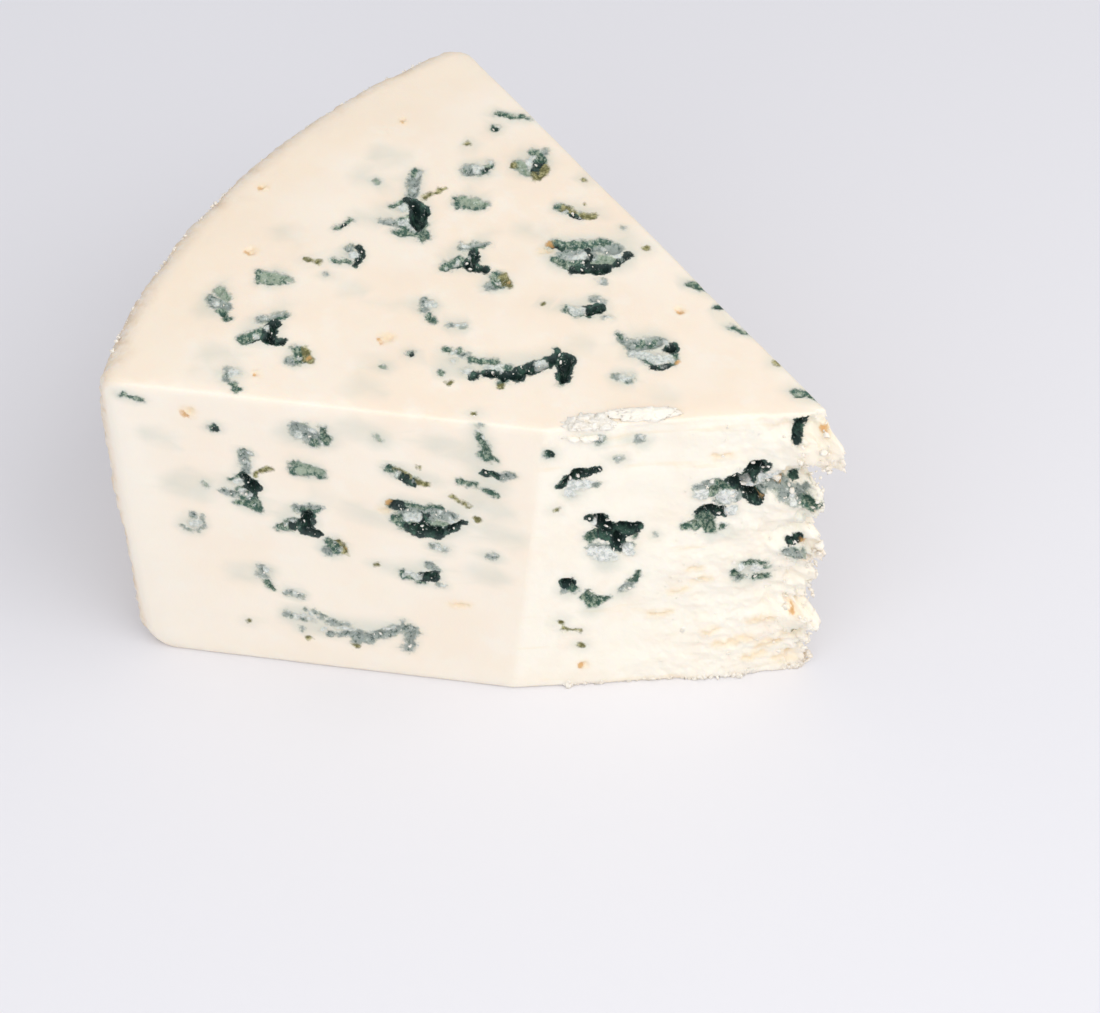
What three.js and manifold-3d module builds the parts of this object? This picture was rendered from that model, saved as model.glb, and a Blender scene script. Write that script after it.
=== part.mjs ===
// A wedge of blue-veined cheese, cut from a wheel that was first halved into two flat discs.
//
// Two knife cuts run from the wheel's axis to its rind, and the thin end of the wedge has been
// broken off, which leaves a crumbly face. Pockets of blue mould open on the cut faces.
// The cheese is one solid. Millimetres, +Z up, standing on its base with the origin at the middle
// of the base's bounding box. The rind faces -X and the broken end faces +X.

import * as THREE from "three";
import { ImprovedNoise } from "three/addons/math/ImprovedNoise.js";
import { mergeVertices } from "three/addons/utils/BufferGeometryUtils.js";
import Module from "manifold-3d";

const wasm = await Module();
wasm.setup();

// The wheel and the two knife cuts.
const WHEEL_RADIUS = 101;
const SLICE_HEIGHT = 50;
const SLICE_ANGLE = THREE.MathUtils.degToRad(48);
const TOP_SHOULDER = 3; // rounding where the top meets the rind
const FOOT_SHOULDER = 7.5; // rounding where the base meets the rind
const RIND_TUCK = 2.6; // how much slimmer the wheel is at its foot than at its top
const CORNER_ROUND = 7; // rounding of the upright corners where the cuts meet the rind
const CORNER_OVERRUN = 1.5; // how far that rounding runs out past the rind

// The broken end. Distances are from the wheel's axis, along each cut face.
const BREAK_ON_FRONT_CUT = 43;
const BREAK_ON_BACK_CUT = 12;
const FOOT_UNDERCUT = 4.4; // how much more is missing at the foot of the front corner
const CRUMBLE = 0.55; // height of the rough grain on the broken face
const CRUMBLE_GRAIN = 3.2; // spacing of that grain
const RAGGED_SHARE = 0.3; // share of the broken face, next to the back cut, that is ragged
const LEDGE_WANDER = 0.05; // how far the ragged ledges rise and fall, as a share of the height

// How far the ragged edge stands out (+) or is bitten back (-), from the base upwards.
// Each row is [share of the slice's height, millimetres].
const RAGGED_EDGE = [
  [0.0, -0.8],
  [0.12, -0.5],
  [0.19, 1.4],
  [0.24, -1.4],
  [0.38, -0.6],
  [0.48, 1.4],
  [0.55, -1.6],
  [0.64, 1.5],
  [0.72, -2.2],
  [0.82, 3.6],
  [0.88, 0.6],
  [1.0, 0.4],
];

// Mould pockets: centre on the face, then length along the face, height across it and depth.
// On the top, "out" is the share of the wheel's radius and "over" runs from -1 at the back cut to
// +1 at the front cut. On the front cut, "out" is the same and "over" is the share of the height.
// On the broken face, "out" is the share of its width from the front corner.
const POCKETS = [
  { face: "top", out: 0.76, over: -0.2, size: [7, 5.5, 3], turn: 70 },
  { face: "top", out: 0.73, over: -0.81, size: [5.5, 4.5, 2.5], turn: 40 },
  { face: "top", out: 0.66, over: -0.15, size: [7, 4.5, 3.5], turn: 20 },
  { face: "top", out: 0.54, over: -0.59, size: [13, 6, 4], turn: -5 },
  { face: "top", out: 0.47, over: -0.22, size: [5.5, 2.6, 2.4], turn: 0 },
  { face: "top", out: 0.36, over: -0.2, size: [9, 5.5, 3.2], turn: -15 },
  { face: "top", out: 0.48, over: 0.47, size: [14, 3.6, 4], turn: 5 },
  { face: "top", out: 0.82, over: 0.62, size: [6.5, 4.5, 3.2], turn: 20 },
  { face: "front", out: 0.82, over: 0.68, size: [6, 7, 3], turn: 0 },
  { face: "front", out: 0.75, over: 0.57, size: [6.5, 5, 3], turn: 0 },
  { face: "front", out: 0.59, over: 0.63, size: [12, 6.5, 3.5], turn: 0 },
  { face: "front", out: 0.59, over: 0.41, size: [5.5, 2.6, 2.4], turn: 0 },
  { face: "front", out: 0.66, over: 0.16, size: [11, 3.5, 2.4], turn: -8 },
  { face: "broken", out: 0.13, over: 0.8, size: [6, 4, 4], turn: -25 },
  { face: "broken", out: 0.24, over: 0.58, size: [7.5, 6.5, 5], turn: 10 },
  { face: "broken", out: 0.1, over: 0.41, size: [3.5, 4, 3], turn: 0 },
  { face: "broken", out: 0.62, over: 0.62, size: [7, 6, 5], turn: -30 },
  { face: "broken", out: 0.76, over: 0.74, size: [9, 6, 6], turn: -15 },
  { face: "broken", out: 0.76, over: 0.42, size: [5.5, 3.2, 2.2], turn: 0 },
  { face: "broken", out: 0.9, over: 0.52, size: [3.5, 2.6, 2], turn: -20 },
];
const POCKET_DETAIL = 2; // subdivision of each pocket's rounded hollow
const POCKET_ROUGHNESS = 0.28; // how far a pocket's wall wanders, as a share of its size

// Extra length given to cutting tools so that they pass right through the cheese.
const PASS = 8;

// Slivers and steps smaller than this are smoothed away once every cut is made.
const FINEST_DETAIL = 0.04;

const half = SLICE_ANGLE / 2;
const frontRay = new THREE.Vector3(-Math.cos(half), -Math.sin(half), 0);
const backRay = new THREE.Vector3(-Math.cos(half), Math.sin(half), 0);
const up = new THREE.Vector3(0, 0, 1);
const noise = new ImprovedNoise();

// A closed three.js geometry as a manifold-3d solid.
function solidOf(geometry) {
  const bare = geometry.clone();
  bare.deleteAttribute("normal");
  bare.deleteAttribute("uv");
  const merged = mergeVertices(bare, 1e-3);
  return new wasm.Manifold(
    new wasm.Mesh({
      numProp: 3,
      vertProperties: merged.attributes.position.array,
      triVerts: new Uint32Array(merged.index.array),
    }),
  );
}

// A manifold-3d solid back as a three.js geometry.
function geometryOf(solid) {
  const mesh = solid.getMesh();
  const geometry = new THREE.BufferGeometry();
  geometry.setAttribute("position", new THREE.BufferAttribute(mesh.vertProperties, 3));
  geometry.setIndex(new THREE.BufferAttribute(mesh.triVerts, 1));
  return geometry;
}

// The halved wheel: a disc with rounded shoulders that is widest near its top, turned about Z.
function wheel() {
  const profile = new THREE.Path();
  const footCentre = WHEEL_RADIUS - RIND_TUCK - FOOT_SHOULDER;
  const topCentre = WHEEL_RADIUS - TOP_SHOULDER;
  const topStart = SLICE_HEIGHT - TOP_SHOULDER;
  profile.moveTo(0, 0);
  profile.lineTo(footCentre, 0);
  profile.absarc(footCentre, FOOT_SHOULDER, FOOT_SHOULDER, -Math.PI / 2, 0);
  profile.quadraticCurveTo(WHEEL_RADIUS, SLICE_HEIGHT / 2, WHEEL_RADIUS, topStart);
  profile.absarc(topCentre, topStart, TOP_SHOULDER, 0, Math.PI / 2);
  profile.lineTo(0, SLICE_HEIGHT);
  const turned = new THREE.LatheGeometry(profile.getPoints(8), 160);
  return solidOf(turned.rotateX(Math.PI / 2));
}

// The prism that the two knife cuts leave, wider than the wheel beyond the rounded corners.
function sector() {
  const onRay = (ray, distance) => new THREE.Vector2(ray.x, ray.y).multiplyScalar(distance);
  const turnedIn = (ray, angle, distance) =>
    onRay(ray, distance).rotateAround(new THREE.Vector2(), angle);
  const inset = CORNER_ROUND / WHEEL_RADIUS;
  const beyond = (1.1 * WHEEL_RADIUS) / Math.cos(half);
  const shape = new THREE.Shape();
  const straight = WHEEL_RADIUS - CORNER_ROUND;
  const corner = onRay(frontRay, WHEEL_RADIUS);
  const cornerEnd = turnedIn(frontRay, -inset, WHEEL_RADIUS + CORNER_OVERRUN);
  const outerFront = turnedIn(frontRay, -3 * inset, beyond);
  const outerBack = turnedIn(backRay, 3 * inset, beyond);
  const backEnd = turnedIn(backRay, inset, WHEEL_RADIUS + CORNER_OVERRUN);
  const backCorner = onRay(backRay, WHEEL_RADIUS);
  shape.moveTo(0, 0);
  shape.lineTo(...onRay(backRay, straight));
  shape.quadraticCurveTo(...backCorner, ...backEnd);
  shape.lineTo(...outerBack);
  shape.lineTo(...outerFront);
  shape.lineTo(...cornerEnd);
  shape.quadraticCurveTo(...corner, ...onRay(frontRay, straight));
  shape.lineTo(0, 0);
  const prism = new THREE.ExtrudeGeometry(shape, {
    depth: SLICE_HEIGHT + 2 * PASS,
    bevelEnabled: false,
    curveSegments: 8,
  });
  return solidOf(prism.translate(0, 0, -PASS));
}

// The broken face's own frame: from the front corner along the break, outwards, and up.
const breakStart = frontRay.clone().multiplyScalar(BREAK_ON_FRONT_CUT);
const breakEnd = backRay.clone().multiplyScalar(BREAK_ON_BACK_CUT);
const breakAlong = breakEnd.clone().sub(breakStart);
const BREAK_WIDTH = breakAlong.length();
breakAlong.normalize();
const breakOut = breakAlong.clone().cross(up);

// The ragged edge's reach at a share of the height, by straight lines between its rows.
function raggedReach(share) {
  const next = RAGGED_EDGE.findIndex((row) => row[0] >= share);
  if (next <= 0) return RAGGED_EDGE[next === 0 ? 0 : RAGGED_EDGE.length - 1][1];
  const [below, above] = [RAGGED_EDGE[next - 1], RAGGED_EDGE[next]];
  return THREE.MathUtils.mapLinear(share, below[0], above[0], below[1], above[1]);
}

// How far the broken face stands out from its flat plane, at a place along it and a height.
function breakRelief(along, height) {
  const share = THREE.MathUtils.clamp(along / BREAK_WIDTH, 0, 1);
  const level = THREE.MathUtils.clamp(height / SLICE_HEIGHT, 0, 1);
  const ragged = THREE.MathUtils.smoothstep(share, 1 - RAGGED_SHARE, 1);
  const undercut = FOOT_UNDERCUT * -breakOut.dot(frontRay) * (1 - level) * (1 - share);
  const grain = noise.noise(along / CRUMBLE_GRAIN, height / CRUMBLE_GRAIN, 0.5);
  const ledges = noise.noise(along / (6 * CRUMBLE_GRAIN), height / CRUMBLE_GRAIN, 7.5);
  const rough = CRUMBLE * (0.5 + ragged) * (grain + ledges);
  const wander = LEDGE_WANDER * noise.noise(along / CRUMBLE_GRAIN, height / (4 * CRUMBLE_GRAIN), 3.5);
  return ragged * raggedReach(THREE.MathUtils.clamp(level + wander, 0, 1)) - undercut + rough;
}

// The piece that broke away: a block whose inner side carries the broken face's relief.
function brokenAway() {
  const width = BREAK_WIDTH + 2 * BREAK_ON_FRONT_CUT;
  const thickness = WHEEL_RADIUS;
  const tall = SLICE_HEIGHT + 2 * PASS;
  const block = new THREE.BoxGeometry(thickness, width, tall, 1, 64, 34);
  block.translate(thickness / 2, BREAK_WIDTH / 2, SLICE_HEIGHT / 2);
  const place = block.getAttribute("position");
  for (let i = 0; i < place.count; i += 1) {
    if (place.getX(i) > thickness / 2) continue;
    place.setX(i, breakRelief(place.getY(i), place.getZ(i)));
  }
  const frame = new THREE.Matrix4().makeBasis(breakOut, breakAlong, up).setPosition(breakStart);
  return solidOf(block.applyMatrix4(frame));
}

// Where a pocket opens: its centre, the direction along the face and the outward direction.
function seatOf({ face, out, over }) {
  if (face === "top") {
    const angle = Math.PI + over * half;
    const along = new THREE.Vector3(-Math.cos(angle), -Math.sin(angle), 0);
    const centre = along.clone().multiplyScalar(-out * WHEEL_RADIUS).setZ(SLICE_HEIGHT);
    return { centre, along, outward: up };
  }
  if (face === "front") {
    const along = frontRay.clone().negate();
    const centre = frontRay.clone().multiplyScalar(out * WHEEL_RADIUS).setZ(over * SLICE_HEIGHT);
    return { centre, along, outward: along.clone().cross(up) };
  }
  const centre = breakStart.clone().addScaledVector(breakAlong, out * BREAK_WIDTH);
  centre.addScaledVector(breakOut, breakRelief(out * BREAK_WIDTH, over * SLICE_HEIGHT));
  return { centre: centre.setZ(over * SLICE_HEIGHT), along: breakAlong, outward: breakOut };
}

// One mould pocket: a rounded hollow with a wandering wall, half of it inside the cheese.
function pocket(spec, index) {
  const hollow = new THREE.IcosahedronGeometry(1, POCKET_DETAIL);
  const place = hollow.getAttribute("position");
  const point = new THREE.Vector3();
  for (let i = 0; i < place.count; i += 1) {
    point.fromBufferAttribute(place, i);
    const wander = noise.noise(2 * point.x + index, 2 * point.y, 2 * point.z);
    point.multiplyScalar(1 + POCKET_ROUGHNESS * wander);
    place.setXYZ(i, point.x, point.y, point.z);
  }
  const [length, height, depth] = spec.size;
  hollow.scale(length / 2, height / 2, depth);
  hollow.rotateZ(THREE.MathUtils.degToRad(spec.turn));
  const { centre, along, outward } = seatOf(spec);
  const across = outward.clone().cross(along);
  hollow.applyMatrix4(new THREE.Matrix4().makeBasis(along, across, outward).setPosition(centre));
  return solidOf(hollow);
}

// The whole wedge: the wheel's slice, less its broken end, less the pockets that open on it.
function cheeseWedge() {
  const slice = wheel().intersect(sector()).subtract(brokenAway());
  const hollows = wasm.Manifold.union(POCKETS.map(pocket));
  return geometryOf(slice.subtract(hollows).simplify(FINEST_DETAIL));
}

const paste = new THREE.MeshStandardMaterial({ color: 0xf4e8d4, roughness: 0.5, metalness: 0 });
const wedge = new THREE.Mesh(cheeseWedge(), paste);
wedge.name = "cheese_wedge";
wedge.geometry.computeBoundingBox();
const middle = wedge.geometry.boundingBox.getCenter(new THREE.Vector3());
wedge.position.set(-middle.x, -middle.y, -wedge.geometry.boundingBox.min.z);

const cheese = new THREE.Group();
cheese.add(wedge);

export default cheese;
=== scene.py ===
"""A wedge of blue-veined cheese, finished around its CAD solid.

The paste is one closed body: the slice of the wheel, carved with mould hollows and roughened where
it broke. Loose crumbs of paste lie on the broken end, in the hollows and along the rind.
"""

import logging
import math
import random
from dataclasses import dataclass, field, replace
from enum import Enum

import bmesh
import bpy
import numpy as np
from mathutils import Matrix, Vector, noise


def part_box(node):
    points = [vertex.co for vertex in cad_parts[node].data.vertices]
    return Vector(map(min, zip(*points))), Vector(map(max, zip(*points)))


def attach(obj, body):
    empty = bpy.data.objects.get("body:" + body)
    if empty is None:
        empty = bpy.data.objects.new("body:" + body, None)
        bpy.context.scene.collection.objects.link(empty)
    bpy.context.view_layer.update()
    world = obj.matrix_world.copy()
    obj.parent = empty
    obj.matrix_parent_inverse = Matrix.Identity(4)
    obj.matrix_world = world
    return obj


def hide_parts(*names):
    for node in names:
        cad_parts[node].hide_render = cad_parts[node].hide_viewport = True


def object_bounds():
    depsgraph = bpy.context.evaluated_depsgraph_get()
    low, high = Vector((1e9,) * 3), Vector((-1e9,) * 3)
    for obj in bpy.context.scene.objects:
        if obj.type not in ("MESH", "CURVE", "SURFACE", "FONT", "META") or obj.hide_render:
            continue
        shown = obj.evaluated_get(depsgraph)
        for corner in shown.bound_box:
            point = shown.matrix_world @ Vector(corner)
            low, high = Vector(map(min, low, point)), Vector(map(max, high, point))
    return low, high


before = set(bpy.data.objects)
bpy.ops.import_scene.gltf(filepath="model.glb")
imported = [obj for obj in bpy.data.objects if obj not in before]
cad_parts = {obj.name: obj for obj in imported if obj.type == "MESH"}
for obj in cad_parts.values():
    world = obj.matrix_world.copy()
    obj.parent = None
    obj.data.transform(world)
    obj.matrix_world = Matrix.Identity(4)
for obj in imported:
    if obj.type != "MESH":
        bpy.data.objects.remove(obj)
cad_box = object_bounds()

log = logging.getLogger("cheese_wedge")

MM = 0.001  # metres in a millimetre
MOTIF_REACH = 14.0  # how far a motif spreads from its middle, in millimetres
NOWHERE = -3.0  # how deep a point lies inside a tint that isn't near it, in millimetres


class Tint(Enum):
    """The colours of mould and of the paste around it; DARK is partly the mould's own colour and partly
    painted shade in the deep hollows.
    """

    DARK = "dark"
    GREEN = "green"
    SLATE = "slate"
    PALE = "pale"
    OLIVE = "olive"
    OCHRE = "ochre"
    HAZE = "haze"
    BUTTER = "butter"
    MOSS = "moss"


@dataclass(frozen=True)
class Stroke:
    """A tapered streak of one tint, in millimetres, with x to the right and y up along a face."""

    tint: Tint
    start: tuple[float, float]
    end: tuple[float, float]
    start_radius: float
    end_radius: float


DARK, GREEN, SLATE, PALE, OLIVE, OCHRE, HAZE, BUTTER, MOSS = Tint


def strokes(*rows: tuple) -> tuple[Stroke, ...]:
    """The strokes of one motif, each from a short row.

    Args:
        rows: Each either a round spot's tint, x, y and radius, or a streak's tint, first x and y,
            last x and y, and the radius at each end.

    Returns:
        The strokes, in the rows' order.
    """
    drawn = []
    for tint, *spans in rows:
        if len(spans) == 3:
            x, y, radius = spans
            spans = [x, y, x, y, radius, radius]
        x0, y0, x1, y1, r0, r1 = spans
        drawn.append(Stroke(tint, (x0, y0), (x1, y1), r0, r1))
    return tuple(drawn)


class Motif(Enum):
    """The shapes that the mould grows in, each drawn about its own middle."""

    TREE = strokes(
        (HAZE, -3.0, 0.5, 1.8), (HAZE, 0.2, 7.5, 0.0, -3.0, 1.2, 2.4), (GREEN, 0.1, 8.6, 0.5),
        (SLATE, 0.3, 8.0, 0.0, 4.0, 0.9, 0.7), (PALE, 0.8, 8.0, 0.5), (PALE, 0.3, 5.6, 0.5),
        (OLIVE, 1.5, 3.2, 4.0, 5.2, 0.25, 0.45), (DARK, -0.4, 3.0, 1.3, 0.6, 0.45, 1.15),
        (DARK, 0.8, 0.0, 0.9, -1.6, 1.1, 0.7), (GREEN, -0.4, -1.4, 0.6, -3.0, 1.3, 1.2),
        (GREEN, 1.0, -2.2, 1.9, -4.8, 0.95, 0.6), (GREEN, -1.8, -3.4, 0.2, -3.4, 0.6, 0.8),
        (PALE, -1.2, 1.4, 0.8), (PALE, -0.8, -1.4, 0.8), (PALE, 0.2, -2.4, 0.5),
        (SLATE, -4.0, -1.2, -1.6, -1.6, 0.4, 0.8), (GREEN, -2.5, 1.7, -1.0, 2.6, 0.3, 0.4),
    )
    TRIANGLE = strokes(
        (HAZE, 0.2, 0.0, 1.8), (MOSS, -0.9, 0.1, 2.1, -0.3, 1.25, 0.35),
        (GREEN, -2.0, 1.2, -2.0, -0.9, 0.28, 0.25), (GREEN, -1.0, -1.1, 1.9, -0.8, 0.2, 0.25),
    )
    BEAN = strokes(
        (HAZE, 0.0, 0.0, 2.2), (SLATE, -1.2, -0.1, 0.7, -0.2, 1.05, 0.9), (PALE, -0.1, 0.3, 0.75),
        (GREEN, -1.8, -0.1, 0.4), (GREEN, 0.9, -0.4, 1.6, 0.9, 0.5, 0.4), (PALE, 1.4, 1.4, 0.4),
        (DARK, 1.2, 0.0, 0.3),
    )
    HOOP = strokes(
        (HAZE, 0.0, 0.3, 3.0), (OLIVE, -2.3, -0.1, 0.4), (MOSS, -1.5, 0.0, -0.4, -1.6, 0.8, 0.9),
        (GREEN, 0.4, 2.6, 1.3, 1.6, 0.7, 0.7), (SLATE, 2.0, 2.6, 0.5),
        (PALE, -0.3, -0.8, 0.3, 2.0, 0.4, 0.5), (GREEN, 1.2, 1.2, 1.0, -0.4, 0.7, 0.7),
        (OLIVE, 1.6, -0.8, 0.9, -2.5, 0.85, 0.8), (DARK, 1.0, 0.6, 0.6, -1.2, 0.35, 0.3),
    )
    HOOK = strokes(
        (HAZE, -0.5, 0.6, 2.6), (HAZE, 1.5, 4.0, 3.6, 6.0, 0.7, 0.4),
        (SLATE, -0.5, 2.6, 2.6, 3.2, 0.6, 0.4), (GREEN, 0.4, 2.2, 2.4, 2.9, 0.4, 0.25),
        (PALE, -0.2, 3.0, 0.35), (DARK, 1.0, 1.6, 0.5, -1.0, 0.6, 0.95),
        (DARK, 0.6, -1.4, 2.2, -1.7, 0.6, 0.5), (GREEN, -2.6, -1.3, -0.6, -0.2, 0.8, 0.9),
        (DARK, -1.4, -1.2, 0.2, -0.6, 0.3, 0.5), (PALE, -1.2, -0.3, 0.4), (PALE, -2.2, -1.2, 0.35),
        (PALE, 0.2, 0.9, 0.3),
    )
    OLIVE_BIT = strokes(
        (HAZE, -0.4, -0.2, 1.9), (SLATE, -0.9, -1.0, 0.8), (GREEN, -0.5, 1.2, 0.2, -0.4, 0.6, 1.1),
        (OLIVE, 0.6, 1.0, 1.3, -0.9, 0.5, 0.5), (PALE, -0.1, 0.1, 0.35), (PALE, 0.5, -0.9, 0.3),
        (OCHRE, 1.35, -0.2, 0.2),
    )
    CRESCENT = strokes(
        (HAZE, -1.6, 0.8, 3.8, -0.4, 1.3, 0.8), (GREEN, -2.0, 1.1, -0.8, 0.2, 0.6, 0.6),
        (OLIVE, -1.2, 0.9, 0.0, 0.0, 0.4, 0.4), (PALE, -1.2, 0.2, 0.4),
        (DARK, -0.4, -0.5, 0.6, -1.2, 0.4, 0.3), (GREEN, 0.7, -0.5, 0.5), (PALE, 0.6, -1.0, 0.3),
        (OLIVE, 1.2, -0.7, 2.3, -0.9, 0.55, 0.5), (OLIVE, 1.4, 1.7, 0.25),
    )
    CAVERN = strokes(
        (OCHRE, -5.0, 2.6, 0.5), (BUTTER, -6.2, 1.0, -5.2, 1.2, 0.5, 0.6), (HAZE, 4.8, 3.0, 1.8),
        (HAZE, -2.5, 0.5, 3.0, 0.0, 3.6, 3.4), (GREEN, -4.4, 2.3, -1.0, 2.3, 0.8, 0.7),
        (SLATE, -3.4, 1.7, -0.6, 2.0, 0.8, 0.8), (GREEN, -4.0, -0.4, -2.0, -2.2, 0.7, 0.9),
        (DARK, -4.4, 2.0, -3.4, 1.6, 0.35, 0.3), (SLATE, -3.0, 0.2, 0.2, 0.2, 1.1, 1.1),
        (PALE, -2.4, -0.1, -0.8, 0.3, 0.6, 0.75), (GREEN, -1.4, -1.4, 0.2, -1.6, 0.7, 0.7),
        (DARK, -1.8, -2.5, 1.8, -2.5, 0.85, 1.0), (MOSS, 0.8, -0.9, 2.6, -1.0, 1.2, 1.1),
        (SLATE, 0.8, 1.8, 3.6, 1.2, 1.0, 1.1), (GREEN, 0.3, 2.4, 2.4, 2.6, 0.5, 0.5),
        (DARK, 0.0, 1.0, -0.2, -1.2, 0.35, 0.4), (PALE, 2.2, 1.5, 0.5), (PALE, 3.9, -0.1, 0.6),
        (DARK, 3.4, -1.8, 5.5, 0.2, 0.5, 0.35), (HAZE, 7.6, 1.3, 1.1), (OLIVE, 7.6, 1.3, 0.5),
        (SLATE, 1.8, -5.1, 0.5), (PALE, 1.5, -4.9, 0.4),
    )
    TAIL = strokes(
        (HAZE, -6.2, 1.4, -2.4, 0.8, 0.7, 0.9), (HAZE, 0.4, 0.6, 2.4), (OLIVE, -5.8, 1.2, 0.3),
        (DARK, 0.3, -0.1, 1.6, 0.4, 0.8, 0.8), (PALE, -2.0, 0.1, -0.4, -0.2, 0.6, 0.6),
        (GREEN, -2.7, 0.3, -1.6, -0.7, 0.45, 0.4), (GREEN, -0.6, -0.8, 0.4, -1.0, 0.3, 0.3),
        (SLATE, 1.1, 2.3, 2.0, 1.4, 0.5, 0.4), (SLATE, 2.3, -1.2, 0.45), (PALE, 2.8, -1.3, 0.4),
    )
    PUFF = strokes(
        (HAZE, -0.2, 0.8, 1.7), (HAZE, -4.8, 1.2, -1.8, 1.2, 0.5, 0.8),
        (SLATE, -0.7, 1.8, -0.6, 0.2, 0.4, 0.5), (PALE, 0.1, 1.2, 0.7),
        (GREEN, 0.0, -0.8, 0.7, -1.9, 0.4, 0.45),
    )
    BEADS = strokes(
        (HAZE, 0.0, 0.0, 1.5), (SLATE, -0.6, 0.1, 0.4), (SLATE, 0.8, -0.3, 0.4), (PALE, 0.1, 0.0, 0.5),
        (PALE, 0.9, 0.2, 0.3),
    )
    KIDNEY = strokes(
        (HAZE, -0.5, 0.8, 3.2), (SLATE, -4.2, 3.0, -2.6, 0.2, 0.45, 0.5),
        (GREEN, -4.3, 3.2, -3.8, 2.4, 0.3, 0.3), (SLATE, -2.2, 0.8, 0.8, 1.6, 1.0, 0.9),
        (GREEN, -1.8, 1.0, -1.0, 1.8, 0.35, 0.3), (GREEN, -0.2, 1.0, 0.4, 1.8, 0.3, 0.3),
        (PALE, -2.1, -0.6, 1.2, -1.8, 0.7, 0.8), (GREEN, -1.4, -1.4, 0.4, -2.6, 0.35, 0.35),
        (DARK, 2.5, 0.5, 0.9), (PALE, 1.7, 1.3, 0.4), (PALE, 2.2, -1.4, 0.6),
        (DARK, 0.3, -3.1, 1.8, -2.8, 0.5, 0.4), (GREEN, 3.0, -0.8, 2.4, -2.6, 0.35, 0.4),
        (OCHRE, 3.2, -2.1, 0.35),
    )
    CREVICE = strokes(
        (HAZE, -9.0, 0.2, -4.0, 0.4, 2.4, 1.6), (HAZE, -4.0, 0.0, 4.0, 1.5, 1.4, 1.4),
        (GREEN, -9.7, 2.9, 0.45), (PALE, -9.0, 2.4, 0.4), (GREEN, -8.3, 2.7, 0.35),
        (SLATE, -7.5, 2.0, 0.5), (GREEN, -10.5, -1.3, 0.4), (OLIVE, -9.4, -3.1, 0.45),
        (PALE, -8.8, 1.0, 0.4), (PALE, -7.2, -1.0, 0.6), (DARK, -6.2, -1.7, 0.6),
        (GREEN, -4.9, -1.3, 0.5), (GREEN, -6.6, 0.9, -3.6, 0.7, 0.45, 0.4),
        (PALE, -5.0, -0.2, -3.0, -0.2, 0.35, 0.4), (DARK, -4.6, -1.2, -0.8, -1.8, 0.6, 1.0),
        (GREEN, -3.4, -0.4, -1.8, -0.6, 0.5, 0.5), (DARK, -0.8, -1.4, 3.0, 0.5, 0.9, 0.8),
        (DARK, 2.8, 0.8, 5.2, 1.4, 0.65, 0.85), (DARK, 4.4, 1.6, 4.2, 2.8, 0.45, 0.25),
        (DARK, 5.4, 1.0, 5.0, -2.4, 1.0, 0.75), (DARK, 6.2, 0.7, 0.5), (GREEN, -2.5, -2.6, 0.7),
        (GREEN, 4.9, -3.0, 0.6), (PALE, 1.8, 0.5, 2.8, 0.8, 0.45, 0.45), (OLIVE, -2.7, -3.6, 0.35),
    )
    CURL = strokes(
        (HAZE, -0.6, -0.4, 1.9), (SLATE, -0.3, 1.5, 0.6), (PALE, 0.0, 0.0, 0.8),
        (DARK, 0.9, 1.5, 1.2, 0.0, 0.25, 0.35), (DARK, 1.2, 0.0, 0.5, -1.9, 0.35, 0.25),
        (GREEN, -2.2, -1.0, -0.2, -1.7, 0.3, 0.3),
    )
    SMUDGE = strokes(
        (HAZE, -1.6, -1.0, 0.3, 4.4, 1.8, 0.5), (MOSS, 0.0, 2.6, 0.8, 1.2, 0.7, 0.6),
        (SLATE, -0.9, 0.6, 0.6, -0.6, 0.8, 0.9), (MOSS, 0.3, 0.2, 0.6, -1.4, 0.6, 0.7),
        (PALE, -0.6, 0.4, 0.4), (GREEN, 0.4, -1.6, 1.2, -2.7, 0.6, 0.6),
    )
    DASH = strokes((GREEN, -0.9, -0.8, 0.9, 0.9, 0.35, 0.3), (DARK, 0.0, 0.0, 0.25))
    LINE = strokes((HAZE, -1.2, 0.4, 1.2, -0.3, 0.5, 0.5), (OLIVE, -1.2, 0.4, 1.2, -0.3, 0.25, 0.2))
    SPECK = strokes((HAZE, 0.1, 0.0, 0.9), (GREEN, 0.0, 0.0, 0.45), (DARK, 0.1, 0.0, 0.25))
    CLOUD = strokes(
        (HAZE, -2.6, -0.4, 1.6, 0.0, 2.0, 2.2), (SLATE, -1.5, 0.6, 0.4, -0.6, 1.2, 1.2),
        (MOSS, -1.0, 1.2, 0.7), (GREEN, 1.8, 1.4, 2.0, -0.8, 0.4, 0.7), (GREEN, 0.4, -1.6, 0.5),
        (PALE, 0.2, 0.5, 0.6), (PALE, -1.4, -0.6, 0.5),
    )
    VEIL = strokes((HAZE, -1.0, 0.3, 1.3), (HAZE, 1.2, -0.4, 1.1))
    GHOST = strokes(
        (HAZE, -1.4, 0.4, 1.4), (HAZE, 1.0, -0.6, 1.4), (MOSS, 0.7, -0.4, 1.2, -1.0, 0.15, 0.2),
    )
    BRANCH = strokes(
        (HAZE, -1.4, 9.5, -0.6, -1.0, 0.8, 2.0), (HAZE, 0.0, -4.0, 2.4), (OLIVE, -1.4, 9.6, 0.4),
        (SLATE, -1.3, 8.6, -1.0, 6.5, 0.3, 0.3), (GREEN, -0.9, 5.0, 0.2, 0.6, 0.35, 0.6),
        (PALE, -0.4, 4.2, 0.3), (GREEN, -0.6, 1.4, 0.8, 0.6, 0.6, 0.5),
        (DARK, -0.2, -2.0, 1.0, -2.4, 0.45, 0.35), (SLATE, 1.6, -2.4, 3.2, -2.0, 0.5, 0.4),
        (GREEN, -3.4, -4.2, -1.6, -4.6, 0.5, 0.4), (GREEN, -0.2, -5.2, 1.0, -6.0, 0.4, 0.35),
    )
    CHIP_OUT = strokes((BUTTER, 0.4, 0.0, 0.9), (OCHRE, -0.6, -0.3, 0.0, -0.9, 0.3, 0.3))
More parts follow.
